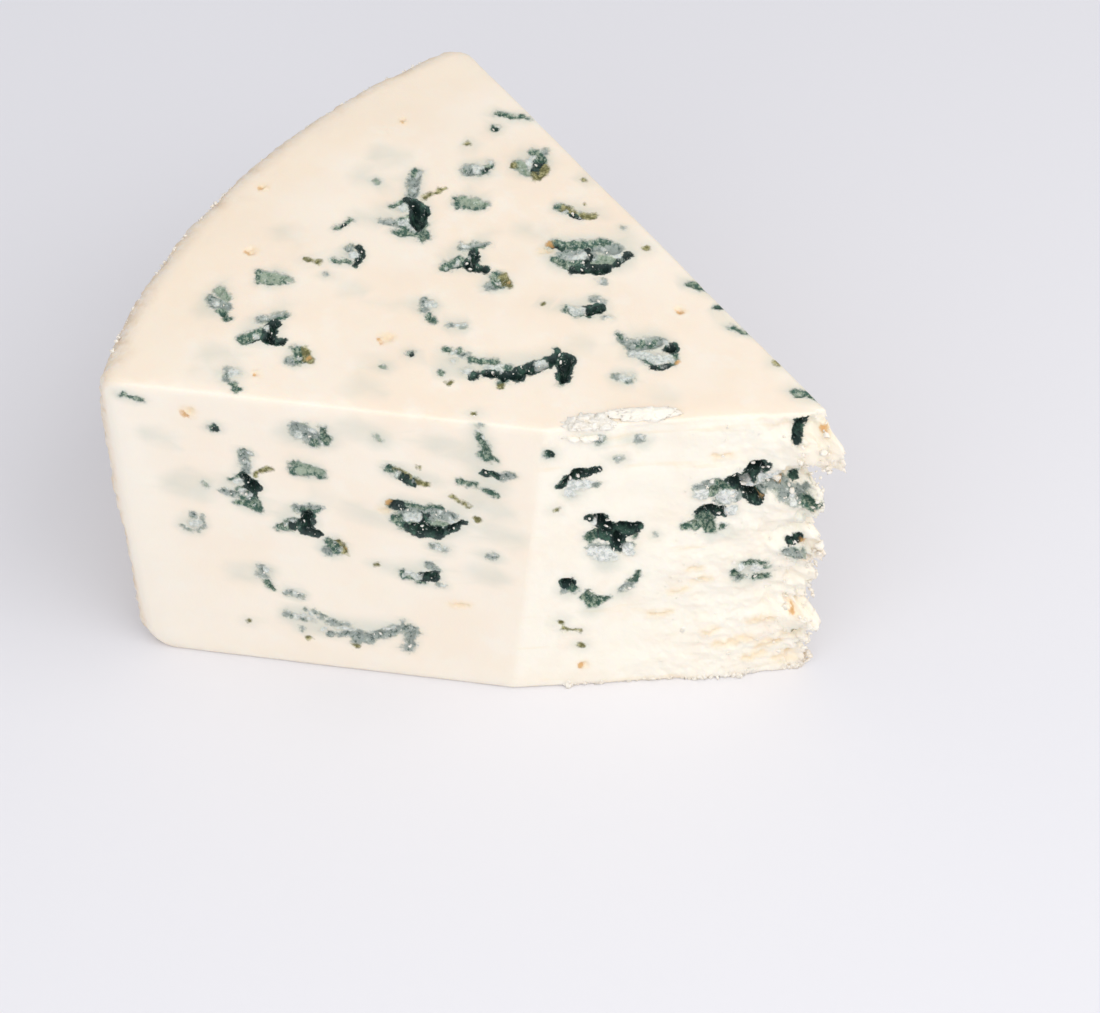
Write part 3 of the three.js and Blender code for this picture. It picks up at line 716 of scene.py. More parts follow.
class Mould:
    """Where each tint lies on the paste, and how the mould carves it."""

    def __init__(self, faces: list[Face], depths: MouldDepths) -> None:
        """Keeps the faces and the depths of the tints."""
        self.faces = faces
        self.depths = depths

    def tints_on(self, face: Face, place: np.ndarray) -> dict[Tint, np.ndarray]:
        """How deep each point on a face lies inside each tint, in millimetres.

        Args:
            face: The face.
            place: Each point's place on the face, right and up.

        Returns:
            One array for each tint: above 0 inside it and below 0 outside.
        """
        inside = {tint: np.full(len(place), NOWHERE) for tint in Tint}
        for vein in face.veins:
            turn = math.radians(vein.turn)
            spin = np.array([[math.cos(turn), -math.sin(turn)], [math.sin(turn), math.cos(turn)]])
            local = (place - face.place(vein)) @ spin / vein.size
            near = np.abs(local).max(1) < MOTIF_REACH
            if not near.any():
                continue
            close = local[near]
            for stroke in vein.motif.value:
                value = self.inside_stroke(stroke, close) * vein.size
                tint = stroke.tint
                if tint in (DARK, GREEN) and vein.fade > 0.0:
                    stain = value - 0.15 * vein.fade
                    inside[SLATE][near] = np.maximum(inside[SLATE][near], stain)
                    value = value - 2.5 * vein.fade
                inside[tint][near] = np.maximum(inside[tint][near], value)
        return inside

    @staticmethod
    def inside_stroke(stroke: Stroke, place: np.ndarray) -> np.ndarray:
        """How deep each point lies inside one stroke, in the stroke's own millimetres."""
        start = np.array(stroke.start)
        run = np.array(stroke.end) - start
        length = float(run @ run)
        share = np.clip((place - start) @ run / length, 0.0, 1.0) if length else 0.0
        share = np.broadcast_to(share, len(place))
        gap = np.hypot(*(place - start - share[:, None] * run).T)
        return stroke.start_radius + share * (stroke.end_radius - stroke.start_radius) - gap

    @staticmethod
    def warped(face: Face, place: np.ndarray) -> np.ndarray:
        """Each point's place, pushed about so that the mould's outlines come out ragged."""
        flat = sheet(place)
        push = np.stack([grain(flat, 1.5, 4, 11.3), grain(flat, 1.5, 4, 27.9)], 1)
        return place + face.ragged * push

    def hollow(self, tints: dict[Tint, np.ndarray], lumps: np.ndarray, cave: float) -> np.ndarray:
        """How far the mould sinks the surface at each point, in millimetres."""
        sunk = np.zeros(len(lumps))
        for tint, sink in self.depths.sink.items():
            value = tints[tint]
            fuller = 0.7 + 0.35 * np.clip(value, 0.0, 1.6)
            sunk = np.maximum(sunk, cave * sink * fuller * smooth(-0.05, self.depths.side, value))
        pale = smooth(-0.1, 0.5, tints[PALE])
        inside = [tints[tint] for tint in self.depths.sink] + [tints[PALE]]
        mouldy = smooth(-0.3, 0.3, np.maximum.reduce(inside))
        sunk = sunk * (1.0 - self.depths.pale_rise * pale)
        return sunk - self.depths.lumps * lumps * mouldy

    def shares(self, points: np.ndarray, width: float = 0.8) -> list[np.ndarray]:
        """How much each point belongs to each face: 1 on the face, one half on its edges."""
        depths = [face.depth(points) for face in self.faces]
        outwards = [self.outward_at(face, points) for face in self.faces]
        shares = []
        for i, depth in enumerate(depths):
            share = 1.0 - smooth(2.0, 4.0, depth)
            for j, other in enumerate(depths):
                if i == j:
                    continue
                apart = np.maximum(np.linalg.norm(outwards[i] - outwards[j], axis=1), 0.1)
                share = share * (1.0 - smooth(-width, width, (depth - other) / apart))
            shares.append(share)
        return shares

    def reach(self, plain: np.ndarray, shaped: np.ndarray) -> np.ndarray:
        """How near each point is to detail that needs a fine mesh, from 0 to 1."""
        near = np.zeros(len(plain))
        for face, share in zip(self.faces, self.shares(plain)):
            close = share > 0.2
            if isinstance(face, BrokenFace):
                near[close] = 1.0
                continue
            if not close.any() or not face.veins:
                continue
            tints = self.tints_on(face, face.flat(shaped[close]))
            most = np.maximum.reduce([v for t, v in tints.items() if t is not HAZE])
            near[close] = np.maximum(near[close], (most > -0.7).astype(float))
        return near

    def carve(
        self, plain: np.ndarray, shaped: np.ndarray
    ) -> tuple[np.ndarray, dict[Tint, np.ndarray], np.ndarray]:
        """Works out the finished surface.

        Args:
            plain: The slice's surface before it was shaped, rows of x, y, z in millimetres.
            shaped: The same points after it was shaped.

        Returns:
            The moved points, how deep each lies inside each tint, and for each point its share of
            rind, its share of break and how warm its paste is: warmer near the rind, and painted cooler
            on the front cut as painted light.
        """
        moved = shaped.copy()
        tints = {tint: np.full(len(plain), NOWHERE) for tint in Tint}
        zones = np.zeros((len(plain), 3))
        for face, all_shares in zip(self.faces, self.shares(plain)):
            close = np.nonzero(all_shares > 0.0)[0]
            here = shaped[close]
            share = all_shares[close]
            push = face.relief(here)
            if face.veins:
                place = self.warped(face, face.flat(here))
                found = self.tints_on(face, place)
                push = push - self.hollow(found, grain(here, 0.9, 3, 17.1), face.cave)
                for tint in Tint:
                    wrapped = found[tint] - 5.0 * np.clip(0.5 - share, 0.0, 0.5)
                    tints[tint][close] = np.maximum(tints[tint][close], wrapped)
            moved[close] += (push * share)[:, None] * self.outward_at(face, here)
            if isinstance(face, RindFace):
                zones[close, 0] = share
                near_rind = 1.0 - smooth(1.0, 14.0, face.depth(plain))
                zones[:, 2] += near_rind * (1.0 + 3.0 * np.minimum(zones[:, 2], 0.0))
            if isinstance(face, BrokenFace):
                zones[close, 1] = share
            # Painted light: takes warmth away where a face is painted cooler for its light.
            zones[close, 2] -= face.painted_light_cooling * share
        moved[:, 2] = np.maximum(moved[:, 2], 0.0)
        return moved, tints, zones

    @staticmethod
    def outward_at(face: Face, points: np.ndarray) -> np.ndarray:
        """The direction that pushes each point out of a face."""
        if not isinstance(face, RindFace):
            return np.broadcast_to(face.outward, points.shape)
        out = points - face.origin
        out[:, 2] = 0.0
        return out / np.maximum(np.linalg.norm(out, axis=1), 1e-6)[:, None]


@dataclass
class Paste:
    """The wedge's body of paste."""

    shape: Slice
    mould: Mould
    fine: float = 0.27
    most_faces: int = 190_000
    quick_fine: float = 0.5
    quick_most_faces: int = 90_000
    segments: int = 720

    def block(self) -> bpy.types.Object:
        """The plain slice: a disc cut by the two knife cuts and the break, raised to its height."""
        shape = self.shape
        bm = bmesh.new()
        bmesh.ops.create_circle(bm, radius=shape.wheel_radius, segments=self.segments, cap_ends=True)
        bmesh.ops.translate(bm, verts=bm.verts, vec=(shape.axis_x, 0.0, 0.0))
        cuts = [(face.origin, face.outward) for face in shape.faces()[1:4]]
        for point, outward in cuts + shape.corner_planes():
            parts = bm.verts[:] + bm.edges[:] + bm.faces[:]
            bmesh.ops.bisect_plane(
                bm, geom=parts, plane_co=point, plane_no=outward, clear_outer=True
            )
        raised = bmesh.ops.extrude_face_region(bm, geom=bm.faces[:])["geom"]
        lifted = [part for part in raised if isinstance(part, bmesh.types.BMVert)]
        bmesh.ops.translate(bm, verts=lifted, vec=(0.0, 0.0, shape.height))
        bmesh.ops.recalc_face_normals(bm, faces=bm.faces)
        self.round_edges(bm)
        return self.as_object(bm, "plain_slice")

    def round_edges(self, bm: bmesh.types.BMesh) -> None:
        """Rounds every sharp edge a little."""
        sharp = [edge for edge in bm.edges if edge.calc_face_angle(0.0) > 0.5]
        bmesh.ops.bevel(
            bm,
            geom=sharp,
            offset=self.shape.edge_round,
            offset_type="OFFSET",
            segments=3,
            profile=0.5,
            affect="EDGES",
            material=-1,
        )

    @staticmethod
    def as_object(bm: bmesh.types.BMesh, name: str) -> bpy.types.Object:
        """Turns a bmesh into an object in the scene."""
        mesh = bpy.data.meshes.new(name)
        bm.to_mesh(mesh)
        bm.free()
        return put_in_scene(name, mesh)

    @staticmethod
    def settle(made: bpy.types.Object) -> None:
        """Applies an object's modifiers to its mesh."""
        graph = bpy.context.evaluated_depsgraph_get()
        mesh = bpy.data.meshes.new_from_object(made.evaluated_get(graph))
        made.modifiers.clear()
        made.vertex_groups.clear()
        made.data = mesh

    @staticmethod
    def points(mesh: bpy.types.Mesh) -> np.ndarray:
        """The mesh's vertices as rows of x, y, z."""
        flat = np.empty(3 * len(mesh.vertices))
        mesh.vertices.foreach_get("co", flat)
        return flat.reshape(-1, 3)

    def build(self) -> bpy.types.Object:
        """Makes the body: an even fine mesh, thinned where it is plain, then carved."""
        body = self.block()
        body.name = "cheese_paste"
        remesh = body.modifiers.new("even mesh", "REMESH")
        remesh.mode = "VOXEL"
        remesh.voxel_size = self.fine
        self.settle(body)
        plain = self.points(body.data)
        shaped = self.shape.shaped(plain)
        detail = self.mould.reach(plain, shaped)
        moved, tints, zones = self.mould.carve(plain, shaped)
        body.data.vertices.foreach_set("co", (moved * MM).ravel())
        write_tints(body.data, tints, zones)
        group = body.vertex_groups.new(name="detail")
        group.add(np.nonzero(detail > 0.5)[0].tolist(), 1.0, "REPLACE")
        thin = body.modifiers.new("thin the plain stretches", "DECIMATE")
        thin.ratio = self.most_faces / (2.0 * len(body.data.polygons))
        thin.vertex_group = group.name
        thin.invert_vertex_group = True
        thin.use_collapse_triangulate = True
        log.info("%d of %d points are in fine detail", int(detail.sum()), len(detail))
        self.settle(body)
        body.data.shade_smooth()
        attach(body, "root")
        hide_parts("cheese_wedge")
        log.info("%s: %d faces", body.name, len(body.data.polygons))
        return body


def write_tints(mesh: bpy.types.Mesh, tints: dict[Tint, np.ndarray], zones: np.ndarray) -> None:
    """Stores the tints and zones on a mesh, for its finish to read.

    Args:
        mesh: The mesh to write on.
        tints: How deep each vertex lies inside each tint, in millimetres.
        zones: For each vertex, its share of rind, its share of break and how warm its paste is,
            warmer near the rind and painted cooler on the front cut as painted light.
    """
    groups = {
        # The deep tints; DARK among them is partly painted shade in the hollows.
        "mould_deep_and_painted_shade": (DARK, GREEN, SLATE),
        "mould_light": (PALE, OLIVE, OCHRE),
        "mould_stain": (HAZE, BUTTER, MOSS),
    }
    for name, members in groups.items():
        values = np.stack([np.clip(tints[tint], NOWHERE, 3.0) for tint in members], 1)
        mesh.attributes.new(name, "FLOAT_VECTOR", "POINT").data.foreach_set("vector", values.ravel())
    mesh.attributes.new("zones", "FLOAT_VECTOR", "POINT").data.foreach_set("vector", zones.ravel())


Colour = tuple[float, float, float, float]


class Nodes:
    """A short way to lay out a material's nodes."""

    def __init__(self, material: bpy.types.Material) -> None:
        """Empties the material's tree and keeps it."""
        material.use_nodes = True
        self.tree = material.node_tree
        self.tree.nodes.clear()

    def add(self, kind: str, **settings: object) -> bpy.types.Node:
        """Adds a node and sets its properties."""
        node = self.tree.nodes.new(kind)
        for name, value in settings.items():
            setattr(node, name, value)
        return node

    def join(self, source: bpy.types.NodeSocket, target: bpy.types.NodeSocket) -> None:
        """Links one socket to another."""
        self.tree.links.new(source, target)

    def feed(self, target: bpy.types.NodeSocket, value: object) -> None:
        """Links a socket to a target, or sets the target to a number or colour."""
        if isinstance(value, bpy.types.NodeSocket):
            self.join(value, target)
        else:
            target.default_value = value

    def attribute(self, name: str) -> tuple[bpy.types.NodeSocket, ...]:
        """The three numbers that a mesh attribute holds."""
        read = self.add("ShaderNodeAttribute", attribute_name=name)
        split = self.add("ShaderNodeSeparateXYZ")
        self.join(read.outputs["Vector"], split.inputs[0])
        return tuple(split.outputs)

    def grain(
        self, spacing: float, detail: float, rough: float = 0.55, shift: float = 0.0, flat: float = 1.0
    ) -> bpy.types.NodeSocket:
        """Noise from 0 to 1, fixed to the object.

        Args:
            spacing: The size of its lumps, in millimetres.
            detail: How many times it repeats at half the size.
            rough: How much its small lumps count.
            shift: Moves it, so that two grains differ.
            flat: How many times as wide as it is tall each lump is.

        Returns:
            The socket that holds it.
        """
        place = self.add("ShaderNodeTexCoord")
        moved = self.add("ShaderNodeMapping")
        moved.inputs["Location"].default_value = (shift, 0.7 * shift, 1.3 * shift)
        moved.inputs["Scale"].default_value = (1.0 / flat, 1.0 / flat, 1.0)
        self.join(place.outputs["Object"], moved.inputs["Vector"])
        texture = self.add("ShaderNodeTexNoise")
        texture.inputs["Scale"].default_value = 1.0 / (spacing * MM)
        texture.inputs["Detail"].default_value = detail
        texture.inputs["Roughness"].default_value = rough
        self.join(moved.outputs[0], texture.inputs["Vector"])
        return texture.outputs["Fac"]

    def math(self, operation: str, a: object, b: object) -> bpy.types.NodeSocket:
        """One sum on two values."""
        node = self.add("ShaderNodeMath", operation=operation)
        self.feed(node.inputs[0], a)
        self.feed(node.inputs[1], b)
        return node.outputs[0]

    def plus(self, a: object, b: object) -> bpy.types.NodeSocket:
        """The sum of two values."""
        return self.math("ADD", a, b)

    def times(self, a: object, b: object) -> bpy.types.NodeSocket:
        """The product of two values."""
        return self.math("MULTIPLY", a, b)

    def most(self, first: object, *others: object) -> bpy.types.NodeSocket:
        """The largest of several values."""
        for other in others:
            first = self.math("MAXIMUM", first, other)
        return first

    def ramp(
        self, value: object, low: float, high: float, to_low: float = 0.0, to_high: float = 1.0
    ) -> bpy.types.NodeSocket:
        """A smooth step of a value between two limits."""
        node = self.add("ShaderNodeMapRange", interpolation_type="SMOOTHSTEP")
        for socket, number in zip(node.inputs, (value, low, high, to_low, to_high)):
            self.feed(socket, number)
        return node.outputs[0]

    def mix(self, share: object, under: object, over: object) -> bpy.types.NodeSocket:
        """One colour laid over another by a share."""
        node = self.add("ShaderNodeMix", data_type="RGBA")
        self.feed(node.inputs[0], share)
        self.feed(node.inputs[6], under)
        self.feed(node.inputs[7], over)
        return node.outputs[2]


@dataclass(frozen=True)
class CheeseFinish:
    """Moist ivory paste, chalky where it broke, with mould that stains it. The darkest mould is partly
    painted shade in the deep hollows, and the front cut is painted cooler as painted light.
    """

    cream: Colour = (0.94, 0.835, 0.7, 1.0)
    warm: Colour = (0.93, 0.795, 0.64, 1.0)
    chalk: Colour = (0.97, 0.91, 0.79, 1.0)
    rim: Colour = (0.92, 0.785, 0.615, 1.0)
    # Also the tone for the painted light on the front cut, which is painted cooler and whiter.
    cool: Colour = (0.93, 0.875, 0.77, 1.0)
    rind: Colour = (0.8, 0.665, 0.5, 1.0)
    rind_fleck: Colour = (0.56, 0.37, 0.22, 1.0)
    bloom: Colour = (0.89, 0.85, 0.78, 1.0)
    # Near-black: partly the mould's own colour, partly painted shade deep in the hollows.
    dark: Colour = (0.01, 0.03, 0.026, 1.0)
    green: Colour = (0.048, 0.115, 0.082, 1.0)
    moss: Colour = (0.36, 0.43, 0.325, 1.0)
    moss_deep: Colour = (0.125, 0.205, 0.14, 1.0)
    slate: Colour = (0.34, 0.385, 0.35, 1.0)
    slate_deep: Colour = (0.05, 0.1, 0.085, 1.0)
    pale: Colour = (0.76, 0.79, 0.73, 1.0)
    pale_blue: Colour = (0.88, 0.89, 0.84, 1.0)
    olive: Colour = (0.15, 0.145, 0.048, 1.0)
    olive_light: Colour = (0.44, 0.41, 0.2, 1.0)
    ochre: Colour = (0.68, 0.38, 0.13, 1.0)
    haze: Colour = (0.52, 0.58, 0.5, 1.0)
    butter: Colour = (0.9, 0.68, 0.39, 1.0)

    def build(self) -> bpy.types.Material:
        """Makes the material."""
        material = bpy.data.materials.new("blue_cheese")
        n = Nodes(material)
        dark, green, slate = n.attribute("mould_deep_and_painted_shade")
        pale, olive, ochre = n.attribute("mould_light")
        haze, butter, moss = n.attribute("mould_stain")
        rind, broken, rind_warmth_and_painted_light = n.attribute("zones")
        edge = n.math("SUBTRACT", n.grain(0.9, 6.0, 0.68), 0.5)
        blotch = n.grain(0.6, 5.0, 0.66, 3.0)
        mottle = n.grain(1.3, 5.0, 0.6, 13.0)

        def within(value: object, soft: float, wander: float, grow: float = 0.0) -> bpy.types.NodeSocket:
            shifted = n.plus(n.plus(value, grow), n.times(edge, wander))
            return n.ramp(shifted, -soft, soft)

        colour = self.paste(n, rind, broken, rind_warmth_and_painted_light)
        stain = n.times(n.ramp(haze, -1.6, 1.4), 0.42)
        colour = n.mix(stain, colour, self.haze)
        deep = n.most(dark, green, slate)
        around = n.most(deep, pale, moss)
        halo = n.times(n.ramp(around, -1.5, 0.2), 0.26)
        colour = n.mix(halo, colour, self.haze)
        colour = n.mix(n.times(within(butter, 0.9, 0.9), 0.6), colour, self.butter)

        bed_tone = n.mix(n.ramp(mottle, 0.40, 0.52), self.moss_deep, self.slate)
        bed_tone = n.mix(n.ramp(blotch, 0.52, 0.64), bed_tone, self.pale)
        under = n.most(deep, moss, n.math("SUBTRACT", pale, 0.3))
        bed = n.times(within(under, 0.3, 1.6, 0.22), 0.7)
        colour = n.mix(bed, colour, bed_tone)

        # The dark layer's near-black is partly the mould's colour and partly painted shade in the
        # deepest hollows.
        layers = (
            (moss, blotch, (0.32, 0.54), (self.moss_deep, self.moss), (0.18, 0.7, 0.0), 1.0),
            (slate, blotch, (0.36, 0.50), (self.slate_deep, self.slate), (0.25, 1.6, 0.0), 0.9),
            (green, blotch, (0.44, 0.62), (self.green, self.moss), (0.14, 1.3, 0.05), 1.0),
            (olive, blotch, (0.46, 0.62), (self.olive, self.olive_light), (0.28, 1.2, 0.12), 1.0),
            (dark, mottle, (0.47, 0.66), (self.dark, self.green), (0.1, 1.2, 0.24), 1.0),
        )
        for value, pattern, limits, (low_tone, high_tone), (soft, wander, grow), strength in layers:
            tone = n.mix(n.ramp(pattern, *limits), low_tone, high_tone)
            colour = n.mix(n.times(within(value, soft, wander, grow), strength), colour, tone)
        colour = n.mix(n.times(within(ochre, 0.25, 1.3), 0.85), colour, self.ochre)
        mould_white = n.mix(broken, self.pale, self.pale_blue)
        pale_tone = n.mix(n.ramp(blotch, 0.40, 0.56, 0.45, 1.0), self.slate, mould_white)
        colour = n.mix(n.times(within(pale, 0.18, 1.5), 0.92), colour, pale_tone)

        specks = n.ramp(n.grain(0.45, 3.0, 0.6, 21.0), 0.60, 0.68, 0.0, 0.6)
        colour = n.mix(n.times(within(around, 0.3, 1.0, -0.1), specks), colour, mould_white)

        self.surface(n, colour, rind, broken, within(around, 0.4, 1.0, 0.2))
        return material

    @staticmethod
    def surface(
        n: Nodes,
        colour: bpy.types.NodeSocket,
        rind: bpy.types.NodeSocket,
        broken: bpy.types.NodeSocket,
        mouldy: bpy.types.NodeSocket,
    ) -> None:
        """Gives the material its moist or dry shine and its fine relief.

        Args:
            n: The material's nodes.
            colour: The finished colour.
            rind: The share of rind.
            broken: The share of break.
            mouldy: The share of mould.
        """
        shader = n.add("ShaderNodeBsdfPrincipled")
        n.join(colour, shader.inputs["Base Color"])
        dry = n.most(broken, rind)
        n.join(n.ramp(dry, 0.0, 1.0, 0.42, 0.75), shader.inputs["Roughness"])
        settings = {
            "Subsurface Weight": 0.2,
            "Subsurface Radius": (1.0, 0.7, 0.45),
            "Subsurface Scale": 2.5 * MM,
            "Specular IOR Level": 0.4,
        }
        for name, value in settings.items():
            shader.inputs[name].default_value = value
        fine = n.times(n.grain(0.4, 4.0, 0.65, 7.0), n.ramp(mouldy, 0.0, 1.0, 0.1, 1.0))
        chalky = n.times(n.grain(0.8, 5.0, 0.7, 9.0), n.times(broken, 0.5))
        crust = n.times(n.grain(0.8, 5.0, 0.65, 8.0), n.times(rind, 0.8))
        height = n.plus(n.plus(fine, chalky), crust)
        bump = n.add("ShaderNodeBump")
        bump.inputs["Strength"].default_value = 0.7
        bump.inputs["Distance"].default_value = 0.3 * MM
        n.join(height, bump.inputs["Height"])
        n.join(bump.outputs[0], shader.inputs["Normal"])
        output = n.add("ShaderNodeOutputMaterial")
        n.join(shader.outputs[0], output.inputs["Surface"])

    def paste(
        self,
        n: Nodes,
        rind: bpy.types.NodeSocket,
        broken: bpy.types.NodeSocket,
        rind_warmth_and_painted_light: bpy.types.NodeSocket,
    ) -> bpy.types.NodeSocket:
        """The colour of the clean paste.

        Args:
            n: The material's nodes.
            rind: The share of rind.
            broken: The share of break.
            rind_warmth_and_painted_light: How warm a point's paste is, from -1 to 1: warmer near the
                rind, and below 0 where the front cut is painted cooler as painted light.

        Returns:
            The colour.
        """
        cloud = n.grain(11.0, 3.0, 0.5, 1.0)
        colour = n.mix(n.ramp(cloud, 0.36, 0.66), self.cream, self.warm)
        veil = n.ramp(n.grain(4.5, 4.0, 0.6, 31.0), 0.50, 0.70, 0.0, 0.4)
        colour = n.mix(veil, colour, self.cool)
        colour = n.mix(n.ramp(rind_warmth_and_painted_light, 0.0, 1.0, 0.0, 0.6), colour, self.rim)
        # Painted light: the front cut is painted cooler and whiter than the top, for the light that
        # falls on it.
        colour = n.mix(n.ramp(rind_warmth_and_painted_light, 0.0, -1.0, 0.0, 0.65), colour, self.cool)
        chalky = n.times(broken, n.ramp(n.grain(5.0, 3.0, 0.5, 4.0), 0.3, 0.6, 0.55, 0.95))
        colour = n.mix(chalky, colour, self.chalk)
        layers = n.ramp(n.grain(2.6, 4.0, 0.5, flat=7.0), 0.60, 0.74)
        colour = n.mix(n.times(n.times(broken, layers), 0.3), colour, self.butter)
        colour = n.mix(n.times(rind, 0.9), colour, self.rind)
        fleck = n.times(rind, n.ramp(n.grain(4.0, 6.0, 0.6, 5.0), 0.50, 0.72))
        colour = n.mix(n.times(fleck, 0.5), colour, self.rind_fleck)
        bloom = n.times(rind, n.ramp(n.grain(2.2, 6.0, 0.7, 15.0), 0.42, 0.62))
        return n.mix(n.times(bloom, 0.65), colour, self.bloom)


@dataclass(frozen=True)
class Crumb:
    """One crumb: its middle, half-lengths and turn, in millimetres, and how mouldy it is."""

    place: tuple[float, float, float]
    half: tuple[float, float, float]
    turn: Matrix
    key: float
    mouldy: float = NOWHERE
    detail: int = 2
    bend: float = 0.0
    rough: float = 0.75


@dataclass
class Crumbs:
    """Loose crumbs of paste that cling to the wedge."""

    shape: Slice
    faces: list[Face]
    seed: int = 23
    many_on_break: int = 300
    many_at_foot: int = 70
    many_at_ragged_edge: int = 100
    many_on_rind: int = 520
    flake_lumps: int = 20
    finer_above: float = 0.22
    crumbs: list[Crumb] = field(default_factory=list)

    def __post_init__(self) -> None:
        """Starts the seeded source of chance."""
        self.dice = random.Random(self.seed)

    def build(self, finish: bpy.types.Material) -> bpy.types.Object:
        """Makes every crumb, all in one piece."""
        for face in self.faces:
            for vein in face.veins:
                self.in_vein(face, vein)
        self.on_break()
        self.on_rind()
        self.flake()
        crumbs = self.pressed()
        crumbs.data.shade_smooth()
        crumbs.data.materials.append(finish)
        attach(crumbs, "root")
        log.info("%s: %d crumbs, %d faces", crumbs.name, len(self.crumbs), len(crumbs.data.polygons))
        return crumbs

    @staticmethod
    def ball(detail: int) -> tuple[list[Vector], list[list[int]]]:
        """A round ball's points and faces."""
        bm = bmesh.new()
        bmesh.ops.create_icosphere(bm, subdivisions=detail, radius=1.0)
        points = [vert.co.copy() for vert in bm.verts]
        faces = [[vert.index for vert in face.verts] for face in bm.faces]
        bm.free()
        return points, faces

    def pressed(self) -> bpy.types.Object:
        """Shapes a ball into each crumb and joins them all."""
        balls = {detail: self.ball(detail) for detail in sorted({c.detail for c in self.crumbs})}
        points: list[Vector] = []
        faces: list[list[int]] = []
        mouldy: list[float] = []
        for crumb in self.crumbs:
            ball, ball_faces = balls[crumb.detail]
            first = len(points)
            middle = Vector(crumb.place)
            least = sorted(crumb.half)[1]
            for co in ball:
                spot = Vector([1.3 * c * h / least for c, h in zip(co, crumb.half)])
                swell = noise.fractal(spot + Vector((crumb.key, 0.0, -crumb.key)), 0.8, 2.0, 3)
                swell = 1.0 + crumb.rough * swell
                local = Vector([c * swell * h for c, h in zip(co, crumb.half)])
                local.y += crumb.bend * co.x * co.x
                moved = crumb.turn @ local + middle
                moved.z = max(moved.z, 0.0)
                points.append(moved * MM)
            faces.extend([[first + corner for corner in face] for face in ball_faces])
            mouldy.extend([crumb.mouldy] * len(ball))
        mesh = bpy.data.meshes.new("loose_crumbs")
        mesh.from_pydata(points, [], faces)
        tints = {tint: np.full(len(points), NOWHERE) for tint in Tint}
        tints[PALE] = np.array(mouldy)
        zones = np.zeros((len(points), 3))
        zones[:, 1] = 1.0
        write_tints(mesh, tints, zones)
        return put_in_scene("loose_crumbs", mesh)

    def add(self, place: np.ndarray, size: float, mouldy: float = NOWHERE) -> None:
        """Adds one crumb, turned at random."""
        dice = self.dice
        half = (size, size * dice.uniform(0.5, 1.0), size * dice.uniform(0.35, 0.8))
        axis = Vector([dice.gauss(0, 1) for _ in range(3)]).normalized()
        turn = Matrix.Rotation(dice.uniform(0, 6.28), 3, axis)
        detail = 2 if size > self.finer_above else 1
        self.crumbs.append(Crumb(tuple(place), half, turn, dice.uniform(0, 90), mouldy, detail))

    @staticmethod
    def on_face(face: Face, right: float, up: float, proud: float) -> np.ndarray:
        """The point at a place on a face, standing proud of it."""
        point = face.origin + face.right * right + face.up * up
        stand = proud + face.relief(point[None])[0]
        if isinstance(face, BrokenFace):
            stand += face.standing(np.array([[right, up]]))[0]
        return point + face.outward * stand

    def in_vein(self, face: Face, vein: Vein) -> None:
        """Puts crumbs on a vein's pale spots, and tiny ones in its dark hollows."""
        if isinstance(face, RindFace) or face.name == "base":
            return
        dice = self.dice
        middle = face.place(vein)
        turn = math.radians(vein.turn)
        for stroke in vein.motif.value:
            if stroke.tint not in (PALE, DARK, SLATE):
                continue
            length = math.dist(stroke.start, stroke.end)
            reach = stroke.start_radius * vein.size
            pale = stroke.tint is PALE
            many = round((2.2 if pale else 0.3) * (reach + length) + dice.uniform(0.0, 0.6))
            for _ in range(many):
                share = dice.random()
                x = stroke.start[0] + share * (stroke.end[0] - stroke.start[0])
                y = stroke.start[1] + share * (stroke.end[1] - stroke.start[1])
                spread = dice.uniform(0.0, 0.75) if pale else dice.uniform(0.95, 1.25)
                bearing = dice.uniform(0.0, math.tau)
                x = x * vein.size + spread * reach * math.cos(bearing)
                y = y * vein.size + spread * reach * math.sin(bearing)
                right = middle[0] + math.cos(turn) * x - math.sin(turn) * y
                up = middle[1] + math.sin(turn) * x + math.cos(turn) * y
                if pale:
                    size = dice.uniform(0.2, 0.5) * min(reach, 1.0)
                    proud = -0.2 - 0.3 * reach
                else:
                    size = dice.uniform(0.1, 0.26) * face.cave
                    proud = -0.75 * size
                mouldy = dice.uniform(-0.9, 0.4) if pale else NOWHERE
                self.add(self.on_face(face, right, up, proud), size, mouldy)

    def on_break(self) -> None:
        """Scatters crumbs over the break, most of them at its ragged end."""
        dice = self.dice
        face = the_break(self.faces)
        for index in range(self.many_on_break):
            share = 1.0 - 0.6 * dice.random() ** 2.6
            level = dice.uniform(0.01, 0.98)
            size = dice.uniform(0.12, 0.34) if index % 7 else dice.uniform(0.34, 0.7)
            place = self.on_face(face, share * face.width, level * face.height, -0.55 * size)
            self.add(place, size)
        for _ in range(self.many_at_foot):
            share = dice.uniform(0.08, 1.0)
            size = dice.uniform(0.25, 0.85)
            place = self.on_face(face, share * face.width, 0.2, -0.45 * size)
            place[2] = 0.6 * size
            self.add(place, size)
        for _ in range(self.many_at_ragged_edge):
            share = dice.uniform(0.96, 1.0)
            level = dice.uniform(0.02, 0.88)
            size = 0.16 + 0.5 * dice.random() ** 2.0
            sunk = dice.uniform(0.7, 1.6) * size
            place = self.on_face(face, share * face.width, level * face.height, -sunk)
            self.add(place, size)

    def on_rind(self) -> None:
        """Scatters small crumbs over the rind, thickest near its top edge."""
        dice = self.dice
        shape = self.shape
        for _ in range(self.many_on_rind):
            angle = math.pi + dice.uniform(-0.86, 0.86) * shape.half
            z = shape.height - 1.0 - 40.0 * dice.random() ** 2.4
            rim = shape.axis(z) + shape.wheel_radius * np.array([math.cos(angle), math.sin(angle), 0.0])
            self.add(shape.shaped(rim[None])[0], 0.1 + 0.3 * dice.random() ** 2.5)

